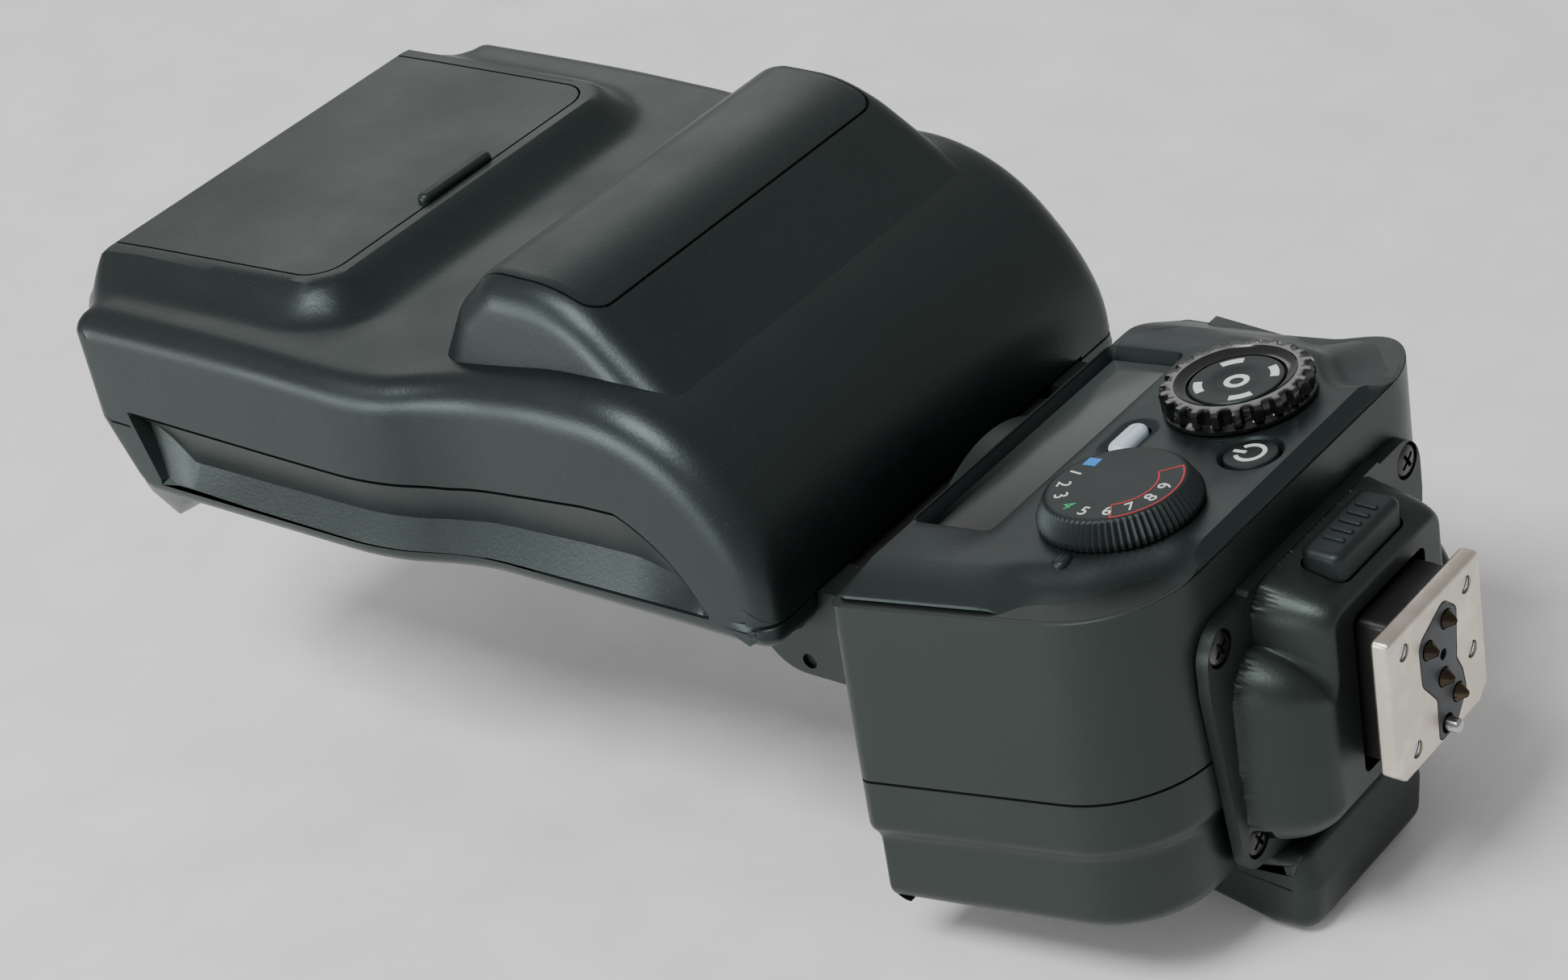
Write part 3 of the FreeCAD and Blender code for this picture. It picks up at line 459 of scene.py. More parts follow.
head = {"front": -153.6, "rear": -57.3, "arcX": -79.0, "arcZ": 9.7, "arcR": 21.7}
deckLine = {"high": 30.65, "rise": 0.04, "start": -152.3}
sideSeam = 15.2
halfWide = [(-152.5, 36.5), (-112, 36.5), (-108, 36.25), (-104, 35.5), (-100, 34.2), (-96, 33.3), (-92, 33.0),
    (-57, 33.0)]
topLine = [(-152.5, 28.2), (-140, 28.5), (-125, 28.7), (-114, 28.5), (-106, 28.4), (-100, 28.9), (-92, 30.0),
    (-85, 31.05), (-79, 31.4)]
edgeRound = [(-152.5, 3.2), (-112, 3.2), (-100, 3.6), (-88, 4.4), (-79, 5.2), (-57, 5.2)]


def sideHalf(x):
    return curved(halfWide, x)


def topHigh(x):
    if x > head["arcX"]:
        return head["arcZ"] + math.sqrt(max(0.0, head["arcR"] ** 2 - (x - head["arcX"]) ** 2))
    return curved(topLine, x)


frontTurn = [(6.0, -143.4), (15.2, -148.2), (28.2, -149.0)]
profile, centreProfile, rounding = [], [], []


def addStation(x, z, cx, cz, radius):
    profile.append(Vector((x, z)))
    centreProfile.append(Vector((cx, cz)))
    rounding.append(radius)


for z, cz in ((8.4, 1.6), (10.6, 4), (12.9, 8), (15.2, 12), (18, 16), (21, 20), (24, 23.6), (26.2, 26.2)):
    addStation(along(frontTurn, z), z, head["front"], cz, 1.6)
for j in range(1, 6):
    turn = math.radians(90 * j / 6)
    back, z = 2.0 * (1 - math.cos(turn)), 26.2 + 2.0 * math.sin(turn)
    addStation(-148.9 + back, z, head["front"] + back, z, 1.6 + 1.4 * j / 6)
for x in spaced(-146.4, -79, 0.9):
    addStation(x, topHigh(x), x, topHigh(x), along(edgeRound, x))
for j in range(1, 57):
    turn = math.radians(90 * j / 56)
    x, z = head["arcX"] + head["arcR"] * math.sin(turn), head["arcZ"] + head["arcR"] * math.cos(turn)
    addStation(x, z, x, z, 5.2 - 2.2 * smoothStep((j - 30) / 26))
for z in (9.25, 9.1, 8.95, 8.8, 8.65):
    x = head["rear"] - (0.45 if z == 8.95 else 0)
    addStation(x, z, x, z, 2.9)
addStation(-57.3, 7.9, -57.3, 7.6, 2.7)
for j in range(1, 6):
    turn = math.radians(90 * j / 6)
    x = -59.3 + 2 * math.cos(turn)
    addStation(x, 7.9 - 1.9 * math.sin(turn), x, 7.6 - 2.2 * math.sin(turn), 2.4)
for x in spaced(59.6, 142.4, 2.0):
    lower = along([(-153, -1.5), (-147.5, -4), (-70, -4), (-63, -1), (-57, 5.4)], -x)
    cx = -x if x < 130 else -130 - (x - 130) * 23 / 12.4
    addStation(-x, 6.0, cx, lower if x < 130 else along([(-153, -0.8), (-148, -4), (-100, -4)], cx), 2.2)
addStation(-143.7, 6.9, head["front"], 0.2, 1.8)


def deckHigh(x):
    return deckLine["high"] + (x - deckLine["start"]) * deckLine["rise"]


# Height of the raised deck over the head's top, with a lip and a hollow flare round it.
def platformRise(x, y):
    outX = x - (-118.8)
    outY = abs(y) - (26.7 + (x + 152) * -0.035)
    if outX > -5 and outY > -5:
        away = math.hypot(outX + 5, outY + 5) - 5
    else:
        away = max(outX, outY)
    rise = deckHigh(x) - topHigh(x)
    flare = 5.2 if outX > outY else 4.4
    if away <= -0.9:
        return rise
    if away < 0.5:
        return rise - 0.66 * ((away + 0.9) / 1.4) ** 2
    if away >= flare:
        return 0.0
    return 2 * (rise - 0.66) * (1 - smoothStep((away - 0.5) / flare * 0.5 + 0.5))


# A point of the head's skin between the two side roundings.
def deck(stationIndex, y):
    here, middle = profile[stationIndex], centreProfile[stationIndex]
    outer = sideHalf(here.x) - rounding[stationIndex]
    y = y * outer
    if here.y < 26.3 and here.x < -140:
        part = smoothStep((outer - abs(y)) / (outer - 27.5)) if abs(y) > 27.5 else 1.0
    elif here.y < 9.0 and here.x < -57.31:
        part = min(1.0, (outer - abs(y)) / max(1.0, outer - 19.0))
    else:
        part = smoothStep((outer - abs(y)) / 8)
    spot = here.lerp(middle, part)
    x, z = spot
    if here.y > 26.0 and here.x < -112:
        whole = here.y >= topHigh(here.x) - 0.05 and here.x > -147
        z += platformRise(x, y) * (1.0 if whole else smoothStep((here.y - 26.2) / 2.0))
    return Vector((x, y, z))


def lowAt(x):
    return 7.25 + 0.02 * (x + 139.7)


def highAt(x):
    if x > -75.6:
        return 0.99 + math.sqrt(max(0.0, 19.2 ** 2 - (x + 82.67) ** 2))
    return along([(-143.1, 17.15), (-120, 16.9), (-98, 16.75), (-90, 17.6), (-80, 18.7), (-75.6, 18.85)], x)


def creaseAt(x):
    high, centre = highAt(x), lowAt(x) + 0.37 * (highAt(x) - lowAt(x))
    return along([(-142.6, high - 0.6), (-136.2, centre), (-60, centre)], x)


def frontLineAt(z):
    return -143.1 + (17.15 - z) * 0.343


# How far the side panel lies inside the side face.
def recessDepth(x, z):
    low, high, lineFront = lowAt(x), highAt(x), frontLineAt(z)
    groove = 0.45 if abs(z - low) < 0.07 else 0.0
    if x < lineFront - 0.01 or x > -65.0:
        seam = 0.4 if abs(z - sideSeam) < 0.07 and x < lineFront - 0.6 else 0.0
        return seam if x < lineFront and x < -139 else groove
    if z > high - 0.01 or z < low + 0.13:
        return groove
    middle = creaseAt(x)
    deep = 2.2 * smoothStep((high - low) / 7.5)
    if z > high - 0.36:
        depth = 0.72
    elif z > middle:
        depth = 0.15 + (deep - 0.15) * (high - 0.44 - z) / max(0.1, high - 0.44 - middle)
    else:
        foot = along([(-143, 0.6), (-136, 0.35), (-128, 0.12)], x)
        depth = foot + (deep - foot) * (z - low - 0.14) / max(0.1, middle - low - 0.14)
    return max(groove, depth) * min(1.0, max(0.0, x - lineFront) / 0.35)


def headMesh():
    count = len(profile)
    points, faces = [], []
    cells = 64
    across = [-1 + 2 * i / cells for i in range(cells + 1)]
    for i in range(count):
        points += [deck(i, y) for y in across]
        k = (i + 1) % count
        for j in range(cells):
            p, q = i * (cells + 1) + j, k * (cells + 1) + j
            faces.append((p, p + 1, q + 1, q))
    for side in (-1, 1):
        rings = []
        for step in range(8):
            angle = math.radians(90 * step / 7)
            depths = [r * (1 - math.cos(angle)) for r in rounding]
            moved = insetLoop(profile, depths) if step else profile
            ring = []
            for spot, r in zip(moved, rounding):
                y = sideHalf(spot.x) - r * (1 - math.sin(angle))
                ring.append(Vector((spot.x, side * y, spot.y)))
            rings.append(ring)
        start = len(points)
        for ring in rings:
            points += ring
        for a in range(7):
            for j in range(count):
                k = (j + 1) % count
                p, q = start + a * count, start + (a + 1) * count
                faces.append((p + j, p + k, q + k, q + j))
        rim = [Vector((p.x, p.z)) for p in rings[-1]]
        flat, links = list(rim), ringLinks(0, count)

        def addLine(spots):
            run = []
            for x, z in spots:
                if insideLoop(rim, x, z):
                    flat.append(Vector((x, z)))
                    run.append(len(flat) - 1)
                else:
                    run.append(None)
            links.extend((a, b) for a, b in zip(run, run[1:]) if a is not None and b is not None)

        for shift in (-0.14, 0.0, 0.14):
            addLine([(x, lowAt(x) + shift) for x in spaced(-147.0, -143.0, 0.5) + spaced(-139.2, -59.6, 0.8)])
            addLine([(x, sideSeam + shift) for x in spaced(-149, -143.0, 0.5)])
        columns = spaced(-142.5, -136.2, 0.45) + spaced(-135.4, -75.8, 0.8) + spaced(-75.5, -65.6, 0.3)
        shelves = [[] for n in range(12)]
        for x in columns:
            low, high = lowAt(x), highAt(x)
            middle = creaseAt(x)
            if high - 0.5 < low + 0.9:
                continue
            column = [low + 0.14 + (middle - low - 0.14) * n / 5 for n in range(6)]
            column += [middle + (high - 0.44 - middle) * n / 3 for n in (1, 2, 3)] + [high - 0.34, high - 0.1,
                high]
            column = [(x, z) if x > frontLineAt(z) + 0.45 else (x, -99) for z in column]
            addLine(column)
            for shelf, spot in zip(shelves, column):
                shelf.append(spot)
        for shelf in shelves:
            addLine(shelf)
        for shift in (0.0, 0.35):
            addLine([(frontLineAt(z) + shift, z) for z in spaced(7.6, 17.0, 0.6)])
        for x in spaced(-113, -91, 1.0):
            addLine([(x, z) for z in (19.5, 22, 25)])
        spots, shapes = filled(flat, links, count)
        start = len(points)
        for spot in spots:
            y = sideHalf(spot.x) - recessDepth(spot.x, spot.y)
            points.append(Vector((spot.x, side * y, spot.y)))
        faces += [tuple(start + n for n in face) for face in shapes]
    return points, faces


headPoints, headFaces = headMesh()
headShell = makePiece("headShell", headPoints, headFaces, *headSkin, ("head_upper_shell", "head_lower_shell",
    "panel_bay_cover"), 24)
print("head shell made", len(headShell.data.vertices))

# A closed thin-walled ring, from two plan outlines, whose floor and roof follow the given heights.
def ringCutter(outer, inner, lowAt, highAt):
    loops = [[Vector((p[0], p[1], lowAt(p))) for p in outer], [Vector((p[0], p[1], highAt(p)))
        for p in outer], [Vector((p[0], p[1], highAt(p))) for p in inner],
        [Vector((p[0], p[1], lowAt(p))) for p in inner]]
    return loose(*bridge(loops, False, True))


def upright(a, b, c):
    return Vector((a, b, c))


# A closed straight prism; turn says where outline x, y and height go.
def prism(outline, low, high, turn=upright):
    return bridge([[turn(p[0], p[1], h) for p in outline] for h in (low, high)])


def boxCutter(low, high):
    xa, ya, za = low
    xb, yb, zb = high
    return loose(*prism([(xa, ya), (xb, ya), (xb, yb), (xa, yb)], za, zb))


def intoX(a, b, c):
    return Vector((c, a, b))


# the raised deck's inlaid plate is drawn by its seam
def plateOutline(grow):
    reach = 24.6 + grow
    return roundOutline([(-160, -reach, 0), (-120.8 + grow, -reach + 0.9, 4 + grow),
        (-120.8 + grow, reach - 0.9, 4 + grow), (-160, reach, 0)], 10)


plateSeam = ringCutter(plateOutline(0.14), plateOutline(-0.14), lambda p: deckHigh(p[0]) - 0.6,
    lambda p: deckHigh(p[0]) + 3)
chamber = loose(*prism([(-32.5, 24.2), (32.5, 24.2), (32.5, 9), (20, -2), (-20, -2), (-32.5, 9)], -149.6,
    -112, intoX))
lensOutline = roundOutline([(-29.2, 24.2, 1.6), (29.2, 24.2, 1.6), (29.2, 9.4, 2), (19.6, 0.9, 2),
    (-19.6, 0.9, 2), (-29.2, 9.4, 2)], 5)
lensMouth = loose(*prism(lensOutline, -158, -149, intoX))
slotMouth = loose(*prism(roundBox(-27.2, 25.5, 27.2, 28.4, 0.4, 3), -158, -116.5, intoX))
hingePocket = boxCutter((-67, -25.2, -8), (-50, 25.2, 9.4))
cutWith(headShell, plateSeam, chamber, lensMouth, slotMouth, hingePocket)
print("head shell cut")


# A solid of one side profile with its two ends rounded off; radius may be a list.
def pillow(profilePoints, halfWidth, radius, steps=7, ends=()):
    radii = radius if isinstance(radius, list) else [radius] * len(profilePoints)
    loops = []
    for side in (-1, 1):
        order = range(steps + 1) if side > 0 else range(steps, -1, -1)
        for step in order:
            angle = math.radians(90 * step / steps)
            moved = insetLoop(profilePoints, [r * (1 - math.cos(angle)) for r in radii])
            loops.append([Vector((p[0], side * (halfWidth - r * (1 - math.sin(angle))), p[1])) for p,
                r in zip(moved, radii)])
    for rim, before in ((loops[0], True), (loops[-1], False)):
        middle = sum(rim, Vector()) / len(rim)
        for scale in ends:
            ring = [middle.lerp(p, scale) for p in rim]
            loops.insert(0 if before else len(loops), ring)
    return bridge(loops)


# The closed outline with extra points so that no edge is longer than step.
def densify(points, step):
    made = []
    for a, b in zip(points, list(points[1:]) + [points[0]]):
        a, b = Vector(a), Vector(b)
        count = max(1, math.ceil((b - a).length / step))
        made += [a.lerp(b, i / count) for i in range(count)]
    return made


humpCorners = [(-102.2, 27, 0), (-98.9, 34.6, 5), (-94.4, 39.3, 5), (-83.3, 39.3, 16), (-69.6, 29.0, 3),
    (-68.6, 25, 0), (-100, 24, 0)]
humpOutline = densify(roundOutline(humpCorners, 12), 0.9)


def humpHigh(x):
    best = 0.0
    for a, b in zip(humpOutline, humpOutline[1:]):
        if (a.x - x) * (b.x - x) <= 0 and abs(a.x - b.x) > 1e-6:
            best = max(best, a.y + (b.y - a.y) * (x - a.x) / (b.x - a.x))
    return best


humpPoints, humpFaces = pillow(humpOutline, 27.2, 3.6, 10, (0.8, 0.6, 0.4, 0.2, 0.03))
for p in humpPoints:
    p.y += math.copysign(0.14 * max(0.0, 37.0 - p.z) * smoothStep((abs(p.y) - 19) / 4), p.y)
hump = makePiece("headHump", humpPoints, humpFaces, *headSkin, ("hump_cover",), 24)


def coverOutline(grow):
    reach = 24.8 + grow
    return densify(roundOutline([(-98.3 - grow, -reach, 1.2), (-80.2 + grow, -reach, 2.4),
        (-80.2 + grow, reach, 2.4), (-98.3 - grow, reach, 1.2)], 8), 0.8)


# Two outlines of the same shape, resampled so that their points pair up.
def sameCount(a, b):
    count = max(len(a), len(b))

    def even(loop):
        lengths = [0.0]
        for p, q in zip(loop, loop[1:] + loop[:1]):
            lengths.append(lengths[-1] + (q - p).length)
        made = []
        for i in range(count):
            want = lengths[-1] * i / count
            k = max(j for j in range(len(loop)) if lengths[j] <= want + 1e-9)
            part = (want - lengths[k]) / max(1e-9, lengths[k + 1] - lengths[k])
            made.append(loop[k].lerp(loop[(k + 1) % len(loop)], part))
        return made

    return even(a), even(b)


outerSeam, innerSeam = sameCount(coverOutline(0.13), coverOutline(-0.13))
cutWith(hump, ringCutter(outerSeam, innerSeam, lambda p: humpHigh(p[0]) - 0.55,
    lambda p: humpHigh(p[0]) + 1.5))


# A raised shape with a straight wall and a rounded top edge.
def plug(outline, floor, roof, edge, turn, steps=4):
    loops = [[turn(p[0], p[1], floor) for p in outline]]
    for step in range(steps + 1):
        angle = math.radians(90 * step / steps)
        moved = insetLoop(outline, edge * (1 - math.cos(angle))) if step else outline
        loops.append([turn(p[0], p[1], roof - edge * (1 - math.sin(angle))) for p in moved])
    return bridge(loops)


def onDeck(a, b, c):
    return Vector((a, b, c + (a + 121.8) * deckLine["rise"]))


rib = plug(roundBox(-122.7, -5.9, -120.9, 5.9, 0.89, 8), deckHigh(-121.8) - 0.3, deckHigh(-121.8) + 0.95, 0.7,
    onDeck)
makePiece("gripRib", *rib, *headSkin, ("grip_rib",), 40)
print("head pieces made")


# body shells

lean = math.radians(7.125)


def onPanel(u, y, w):
    return Vector((u * math.cos(lean) - w * math.sin(lean), y, u * math.sin(lean) + w * math.cos(lean)))


bodyPlan = densify(roundOutline([(-49.3, -33, 1.6), (-14.4, -29.7, 12), (-14.4, 29.7, 12), (-49.3, 33, 1.6)],
    14), 1.6)


# The far long edge of the body stands a little lower at the head end.
def farFall(x, y):
    return 3.0 * smoothStep((y - 21) / 10) * smoothStep((-15 - x) / 17)


def bodyRing(inset, rise, high):
    moved = insetLoop(bodyPlan, inset) if inset else bodyPlan
    fall = 1.0 if high > 15 else 0.0
    return [Vector((p.x, p.y, rise * p.x + high - fall * farFall(p.x, p.y))) for p in moved]


frontRings = []
for step in range(7):
    angle = math.radians(90 * step / 6)
    frontRings.append(bodyRing(1.0 + 2.2 * (1 - math.sin(angle)), 0.1, -17.9 + 2.2 * (1 - math.cos(angle))))
for inset, high in ((1.0, -9.0), (0.97, -8.4), (0.85, -7.9), (0.55, -7.3), (0.2, -6.8), (0.03, -6.3),
        (0.0, -5.8), (0.0, -0.74), (0.4, -0.68), (0.4, -0.55)):
    frontRings.append(bodyRing(inset, 0.125, high))
frontBlock = makePiece("frontShell", *bridge(frontRings), *bodySkin, ("front_shell",), 26)
rearRings = [bodyRing(inset, 0.125, high) for inset, high in ((0.4, -0.62), (0.4, -0.5), (0.0, -0.42),
    (0.0, 8), (0.0, 15), (0.0, 20.86), (0.12, 20.95), (0.5, 20.97), (0.5, 20.99))]
rearBlock = makePiece("rearShell", *bridge(rearRings), *bodySkin, ("rear_shell",), 26)

doorLine = (33 - 29.7) / 34.9


def besideDoor(x, depth):
    return 33 - depth - doorLine * (x + 49.3)


def doorCutter(depth, high=13.7):
    spots = [(-44.3, besideDoor(-44.3, depth)), (-21.2, besideDoor(-21.2, depth)), (-21.2, 38), (-44.3, 38)]
    return loose(*prism(spots, -26, high))


# The battery door's seat, the cells' bay and the mouth between them.
def batteryCutters():
    return [doorCutter(2.1), boxCutter((-46.1, -26.2, -18.6), (-19.2, 26.2, 12.2)),
        boxCutter((-43.4, 24, -14), (-22.2, 36, 12))]


cutWith(rearBlock, *batteryCutters())
cutWith(frontBlock, *batteryCutters(), doorCutter(4.0, -9))

bumpOutline = densify(roundOutline([(-42, -18, 0), (-42, -20.5, 0), (-37.5, -24.4, 4), (-15, -29.3, 3),
    (-10.0, -28.9, 2.6), (-9.4, -23.0, 2), (-10.4, -18.7, 1.2), (-14.5, -18.6, 0), (-14.9, -15, 0)], 8), 1.2)
bump = makePiece("lampHousing", *pillow(bumpOutline, 12, 2.6, 8, (0.75, 0.5, 0.25, 0.04)), *bodySkin, (), 26)
cutWith(bump, loose(*prism(roundBox(-31.4, -7.8, -18.6, 7.8, 1, 4), -34, -24.2)))
print("body shells made")


# control panel
# u runs along the panel towards the foot, y across it, w out of it.

panelFace = 22.6
hoodEdge = [(-33.5, 23.6), (-29, 22.9), (-25.2, 22.2), (-21.5, 20.6), (-18.4, 17.0), (-15.9, 14.9),
    (-13.2, 15.4), (-10.3, 16.8)]


# The panel falls away outside the raised part round the dials, towards the two foot-end corners.
def hoodDrop(u, y):
    side = abs(y) + (0.0 if y < 0 else 0.9)
    edge = curved(hoodEdge, u)
    if side <= edge:
        return 0.0
    start = smoothStep((u + 34.5) / 9)
    return 1.55 * smoothStep((side - edge) / 4.2) * start + 0.12 * max(0.0, side - edge - 4) * start


panelPlan = densify(roundOutline([(-46.75, -31.9, 1.4), (-11.85, -28.7, 11.6), (-11.85, 28.7, 11.6),
    (-46.75, 31.9, 1.4)], 14), 1.1)


# The line where the flat of the panel ends and its sloping sides start.
def facetEdge(extra):
    made = []
    for p in insetLoop(panelPlan, 1.2 + extra):
        half = 31.9 - (p.x + 46.75) * (3.2 / 34.9) - 1.2 - extra - 4.4 * smoothStep((-16.5 - p.x) / 16)
        made.append(Vector((p.x, max(-half, min(half, p.y)))))
    return made


topLoop, innerLoop = facetEdge(0.0), facetEdge(0.5)


def panelHigh(u, y):
    return panelFace - hoodDrop(u, y) - farFall(u, y)


# A panel point on its face, or lower by the given depth.
def onFace(p, depth=0.0):
    return onPanel(p.x, p.y, panelHigh(p.x, p.y) - depth)


def panelRing(amount, drop):
    return [onPanel(p.x, p.y, min(20.9 + drop - farFall(p.x, p.y), panelHigh(p.x, p.y) - 0.12 * (1.2 - drop)))
        for p in (insetLoop(panelPlan, amount) if amount else panelPlan)]


capRings = [panelRing(*row) for row in ((0.5, 0.02), (0.08, 0.05), (0.0, 0.18), (0.12, 0.42), (0.45, 0.62))]
capRings.append([onFace(p) for p in topLoop])
points, faces = bridge(capRings, False)
faces.append(tuple(range(len(panelPlan)))[::-1])


def stadium(u, y, halfU, halfY, steps=10):
    return roundBox(u - halfU, y - halfY, u + halfU, y + halfY, halfU - 0.01, steps)


lcdOutline = roundBox(-45.9, -19.2, -35.8, 18.1, 1.1, 5)
wells = [  # outline, then (inset, depth) rows to the floor
    (lcdOutline, ((0.15, 0.08), (0.75, 1.25), (0.8, 2.2))),
    (circle(-17.3, 0.5, 3.55), ((0.12, 0.05), (0.42, 0.5), (0.5, 0.62), (0.52, 1.85))),
    (stadium(-32.0, 0.5, 2.5, 4.3), ((0.25, 0.05), (0.7, 0.28), (1.1, 0.42), (1.14, 1.6))),
]
count = len(topLoop)
flat = topLoop + innerLoop
links = ringLinks(0, count) + ringLinks(count, count)
for outline, rows in wells:
    links += ringLinks(len(flat), len(outline))
    flat += outline
for u in spaced(-34, -13, 0.75):
    flat += [Vector((u, y)) for y in spaced(-28, 28, 0.75) if abs(y) > 12 and insideLoop(innerLoop, u, y)]
spots, shapes = filled(flat, links, count)
start = len(points)
points += [onFace(p) for p in spots]
for face in shapes:
    middle = sum((spots[n] for n in face), Vector((0, 0))) / len(face)
    if not any(insideLoop(outline, *middle) for outline, rows in wells):
        faces.append(tuple(start + n for n in face))
for outline, rows in wells:
    loops = [[onFace(p) for p in outline]]
    for inset, depth in rows:
        loops.append([onPanel(p.x, p.y, panelFace - depth) for p in insetLoop(outline, inset)])
    start = len(points)
    morePoints, moreFaces = bridge(loops, False)
    points += morePoints
    faces += [tuple(start + n for n in face) for face in moreFaces]
    faces.append(tuple(range(len(points) - len(outline), len(points))))
panelCap = makePiece("panelCap", points, faces, *panelSkin, ("panel_cover",), 30, 0.02)


# A thin cut across the panel whose floor follows the panel's height.
def bandCutter(u, halfGap):
    loops = []
    for y in spaced(-27.5, 27.5, 0.8):
        loops.append([onPanel(u + side * halfGap, y, panelHigh(u, y) + rise) for side,
            rise in ((-1, -0.5), (1, -0.5), (1, 3), (-1, 3))])
    return loose(*bridge(loops))


cutWith(panelCap, bandCutter(-13.9, 0.12))

glass = plug(insetLoop(lcdOutline, 0.82), 20.5, 21.3, 0.12, onPanel)
makePiece("displayWindow", *glass, lcdGlass, "body", "lcd_glass", ("lcd_window",), 40)
pointer = plug(stadium(-25.0, -22.3, 0.9, 1.2, 6), 21.2, 23.0, 0.5, onPanel)
makePiece("dialPointer", *pointer, *panelSkin, (), 40)
print("panel made")


# dials and buttons

# Rings round an axis that leaves the panel; wave(angle) changes the radius of the marked rows.
def lathe(rows, at, count=96, wave=None):
    loops = []
    for radius, w, rough in rows:
        loop = []
        for i in range(count):
            angle = math.tau * i / count
            r = radius + (wave(angle) * rough if wave else 0.0)
            loop.append(onPanel(at[0] + r * math.cos(angle), at[1] + r * math.sin(angle), w))
        loops.append(loop)
    return bridge(loops)


# Printed figures, as thin raised shapes on a panel or dial face.
def label(name, text, size, at, spin, material, body, slotName, high):
    curve = bpy.data.curves.new(name, "FONT")
    curve.body, curve.size, curve.align_x, curve.align_y = text, size, "CENTER", "CENTER"
    curve.extrude = 0.015
    holder = bpy.data.objects.new(name + "Curve", curve)
    scene.collection.objects.link(holder)
    bpy.context.view_layer.update()
    mesh = bpy.data.meshes.new_from_object(holder.evaluated_get(bpy.context.evaluated_depsgraph_get()))
    bpy.data.objects.remove(holder)
    spots = []
    for v in mesh.vertices:
        a = v.co.x * math.cos(spin) - v.co.y * math.sin(spin)
        b = v.co.x * math.sin(spin) + v.co.y * math.cos(spin)
        spots.append(onPanel(at[0] + a, at[1] + b, high + v.co.z))
    shapes = [tuple(p.vertices) for p in mesh.polygons]
    bpy.data.meshes.remove(mesh)
    return makePiece(name, spots, shapes, material, body, slotName, (), 40, 0)


# A flat printed arc between two angles.
def arcBand(at, inner, outer, first, last, low, high, steps=28):
    loops = []
    for i in range(steps + 1):
        angle = math.radians(first + (last - first) * i / steps)
        c, s = math.cos(angle), math.sin(angle)
        loops.append([onPanel(at[0] + r * c, at[1] + r * s, w) for r, w in ((inner, low), (outer, low),
            (outer, high), (inner, high))])
    return bridge(loops)


modeAt = (-24.3, -12.5)
figureRing = 5.55
modeRows = [(7.6, 22.72, 0), (8.3, 22.75, 0.6), (8.5, 22.95, 1), (8.5, 23.6, 1), (8.05, 24.5, 1),
    (7.55, 25.35, 1), (7.3, 25.6, 0.4), (7.05, 25.72, 0), (6.6, 25.75, 0), (0.5, 25.75, 0)]
makePiece("modeDial", *lathe(modeRows, modeAt, 288, lambda a: -0.16 + 0.16 * math.cos(72 * a)), dialPlastic,
    *knobSkin, ("mode_dial",), 40)
for i, turn in enumerate((128, 152, 176, -158, -134, -108, -84, -60, -36)):
    angle = math.radians(turn + 42)
    spot = (modeAt[0] + figureRing * math.cos(angle), modeAt[1] + figureRing * math.sin(angle))
    label(f"modeFigure{i}", str(i + 1), 2.1, spot, angle + math.radians(90), greenInk if i == 3 else whiteInk,
        *knobSkin, 25.77)
for name, *reach in (("Inner", 4.25, 4.42, -62, 42), ("Outer", 6.75, 6.92, -62, 42),
        ("Start", 4.25, 6.92, -62.8, -61.2), ("End", 4.25, 6.92, 41.2, 42.8)):
    makePiece("modeSector" + name, *arcBand(modeAt, *reach, 25.74, 25.775), redInk, *knobSkin)
square = [(-1.0, -0.7), (0.5, -0.7), (0.5, 0.7), (-1.0, 0.7)]
blueSpot = Vector((modeAt[0] - 4.6, modeAt[1] + 3.2))
makePiece("modeBlueMark", *prism([Vector(p) + blueSpot for p in square], 25.74, 25.78, onPanel), blueInk,
    *knobSkin)

wheelAt = (-24.3, 10.1)


def lugWave(angle):
    part = (angle * 22 / math.tau) % 1.0
    return smoothStep((part - 0.12) / 0.12) * smoothStep((0.72 - part) / 0.12)


wheelRows = [(7.0, 22.72, 0), (7.7, 22.75, 0), (8.05, 22.95, 0), (8.05, 23.3, 0), (7.55, 23.55, 0),
    (7.3, 23.7, 0.75), (7.3, 25.0, 0.75), (7.2, 25.35, 0.6), (6.9, 25.45, 0.4), (6.45, 25.42, 0),
    (6.15, 25.1, 0), (5.3, 24.9, 0), (5.28, 23.8, 0)]
makePiece("commandWheel", *lathe(wheelRows, wheelAt, 264, lugWave), glossPlastic, "command_wheel",
    "gloss_black", ("command_dial",), 34)
discRows = [(5.0, 24.4, 0), (5.02, 24.86, 0), (4.9, 24.98, 0), (3.9, 24.99, 0), (2.6, 24.93, 0),
    (2.3, 24.8, 0), (0.4, 24.72, 0)]
makePiece("selectDisc", *lathe(discRows, wheelAt, 96), dialPlastic, "select", "disc_plastic",
    ("select_button",), 30)
for i, turn in enumerate((20, 110, 200, 290)):
    makePiece(f"wheelMark{i}", *arcBand(wheelAt, 3.55, 4.45, turn, turn + 34, 24.97, 25.0, 12), *discInk)
makePiece("wheelCentreRing", *arcBand(wheelAt, 0.75, 1.35, 0, 359.9, 24.7, 24.79, 30), *discInk)
powerAt = (-17.3, 0.5)
powerRows = [(2.85, 21.5, 0), (2.9, 22.3, 0), (2.75, 22.52, 0), (2.3, 22.62, 0), (1.2, 22.6, 0),
    (0.3, 22.58, 0)]
makePiece("powerCap", *lathe(powerRows, powerAt, 72), dialPlastic, "power", "button_plastic",
    ("power_button",), 40)
makePiece("powerRing", *arcBand(powerAt, 1.25, 1.72, 215, 505, 22.58, 22.66), whiteInk, "power",
    "button_plastic")
bar = [(-1.95, -0.22), (-0.5, -0.22), (-0.5, 0.22), (-1.95, 0.22)]
makePiece("powerBar", *prism([Vector(p) + Vector(powerAt) for p in bar], 22.58, 22.66, onPanel), whiteInk,
    "power", "button_plastic")
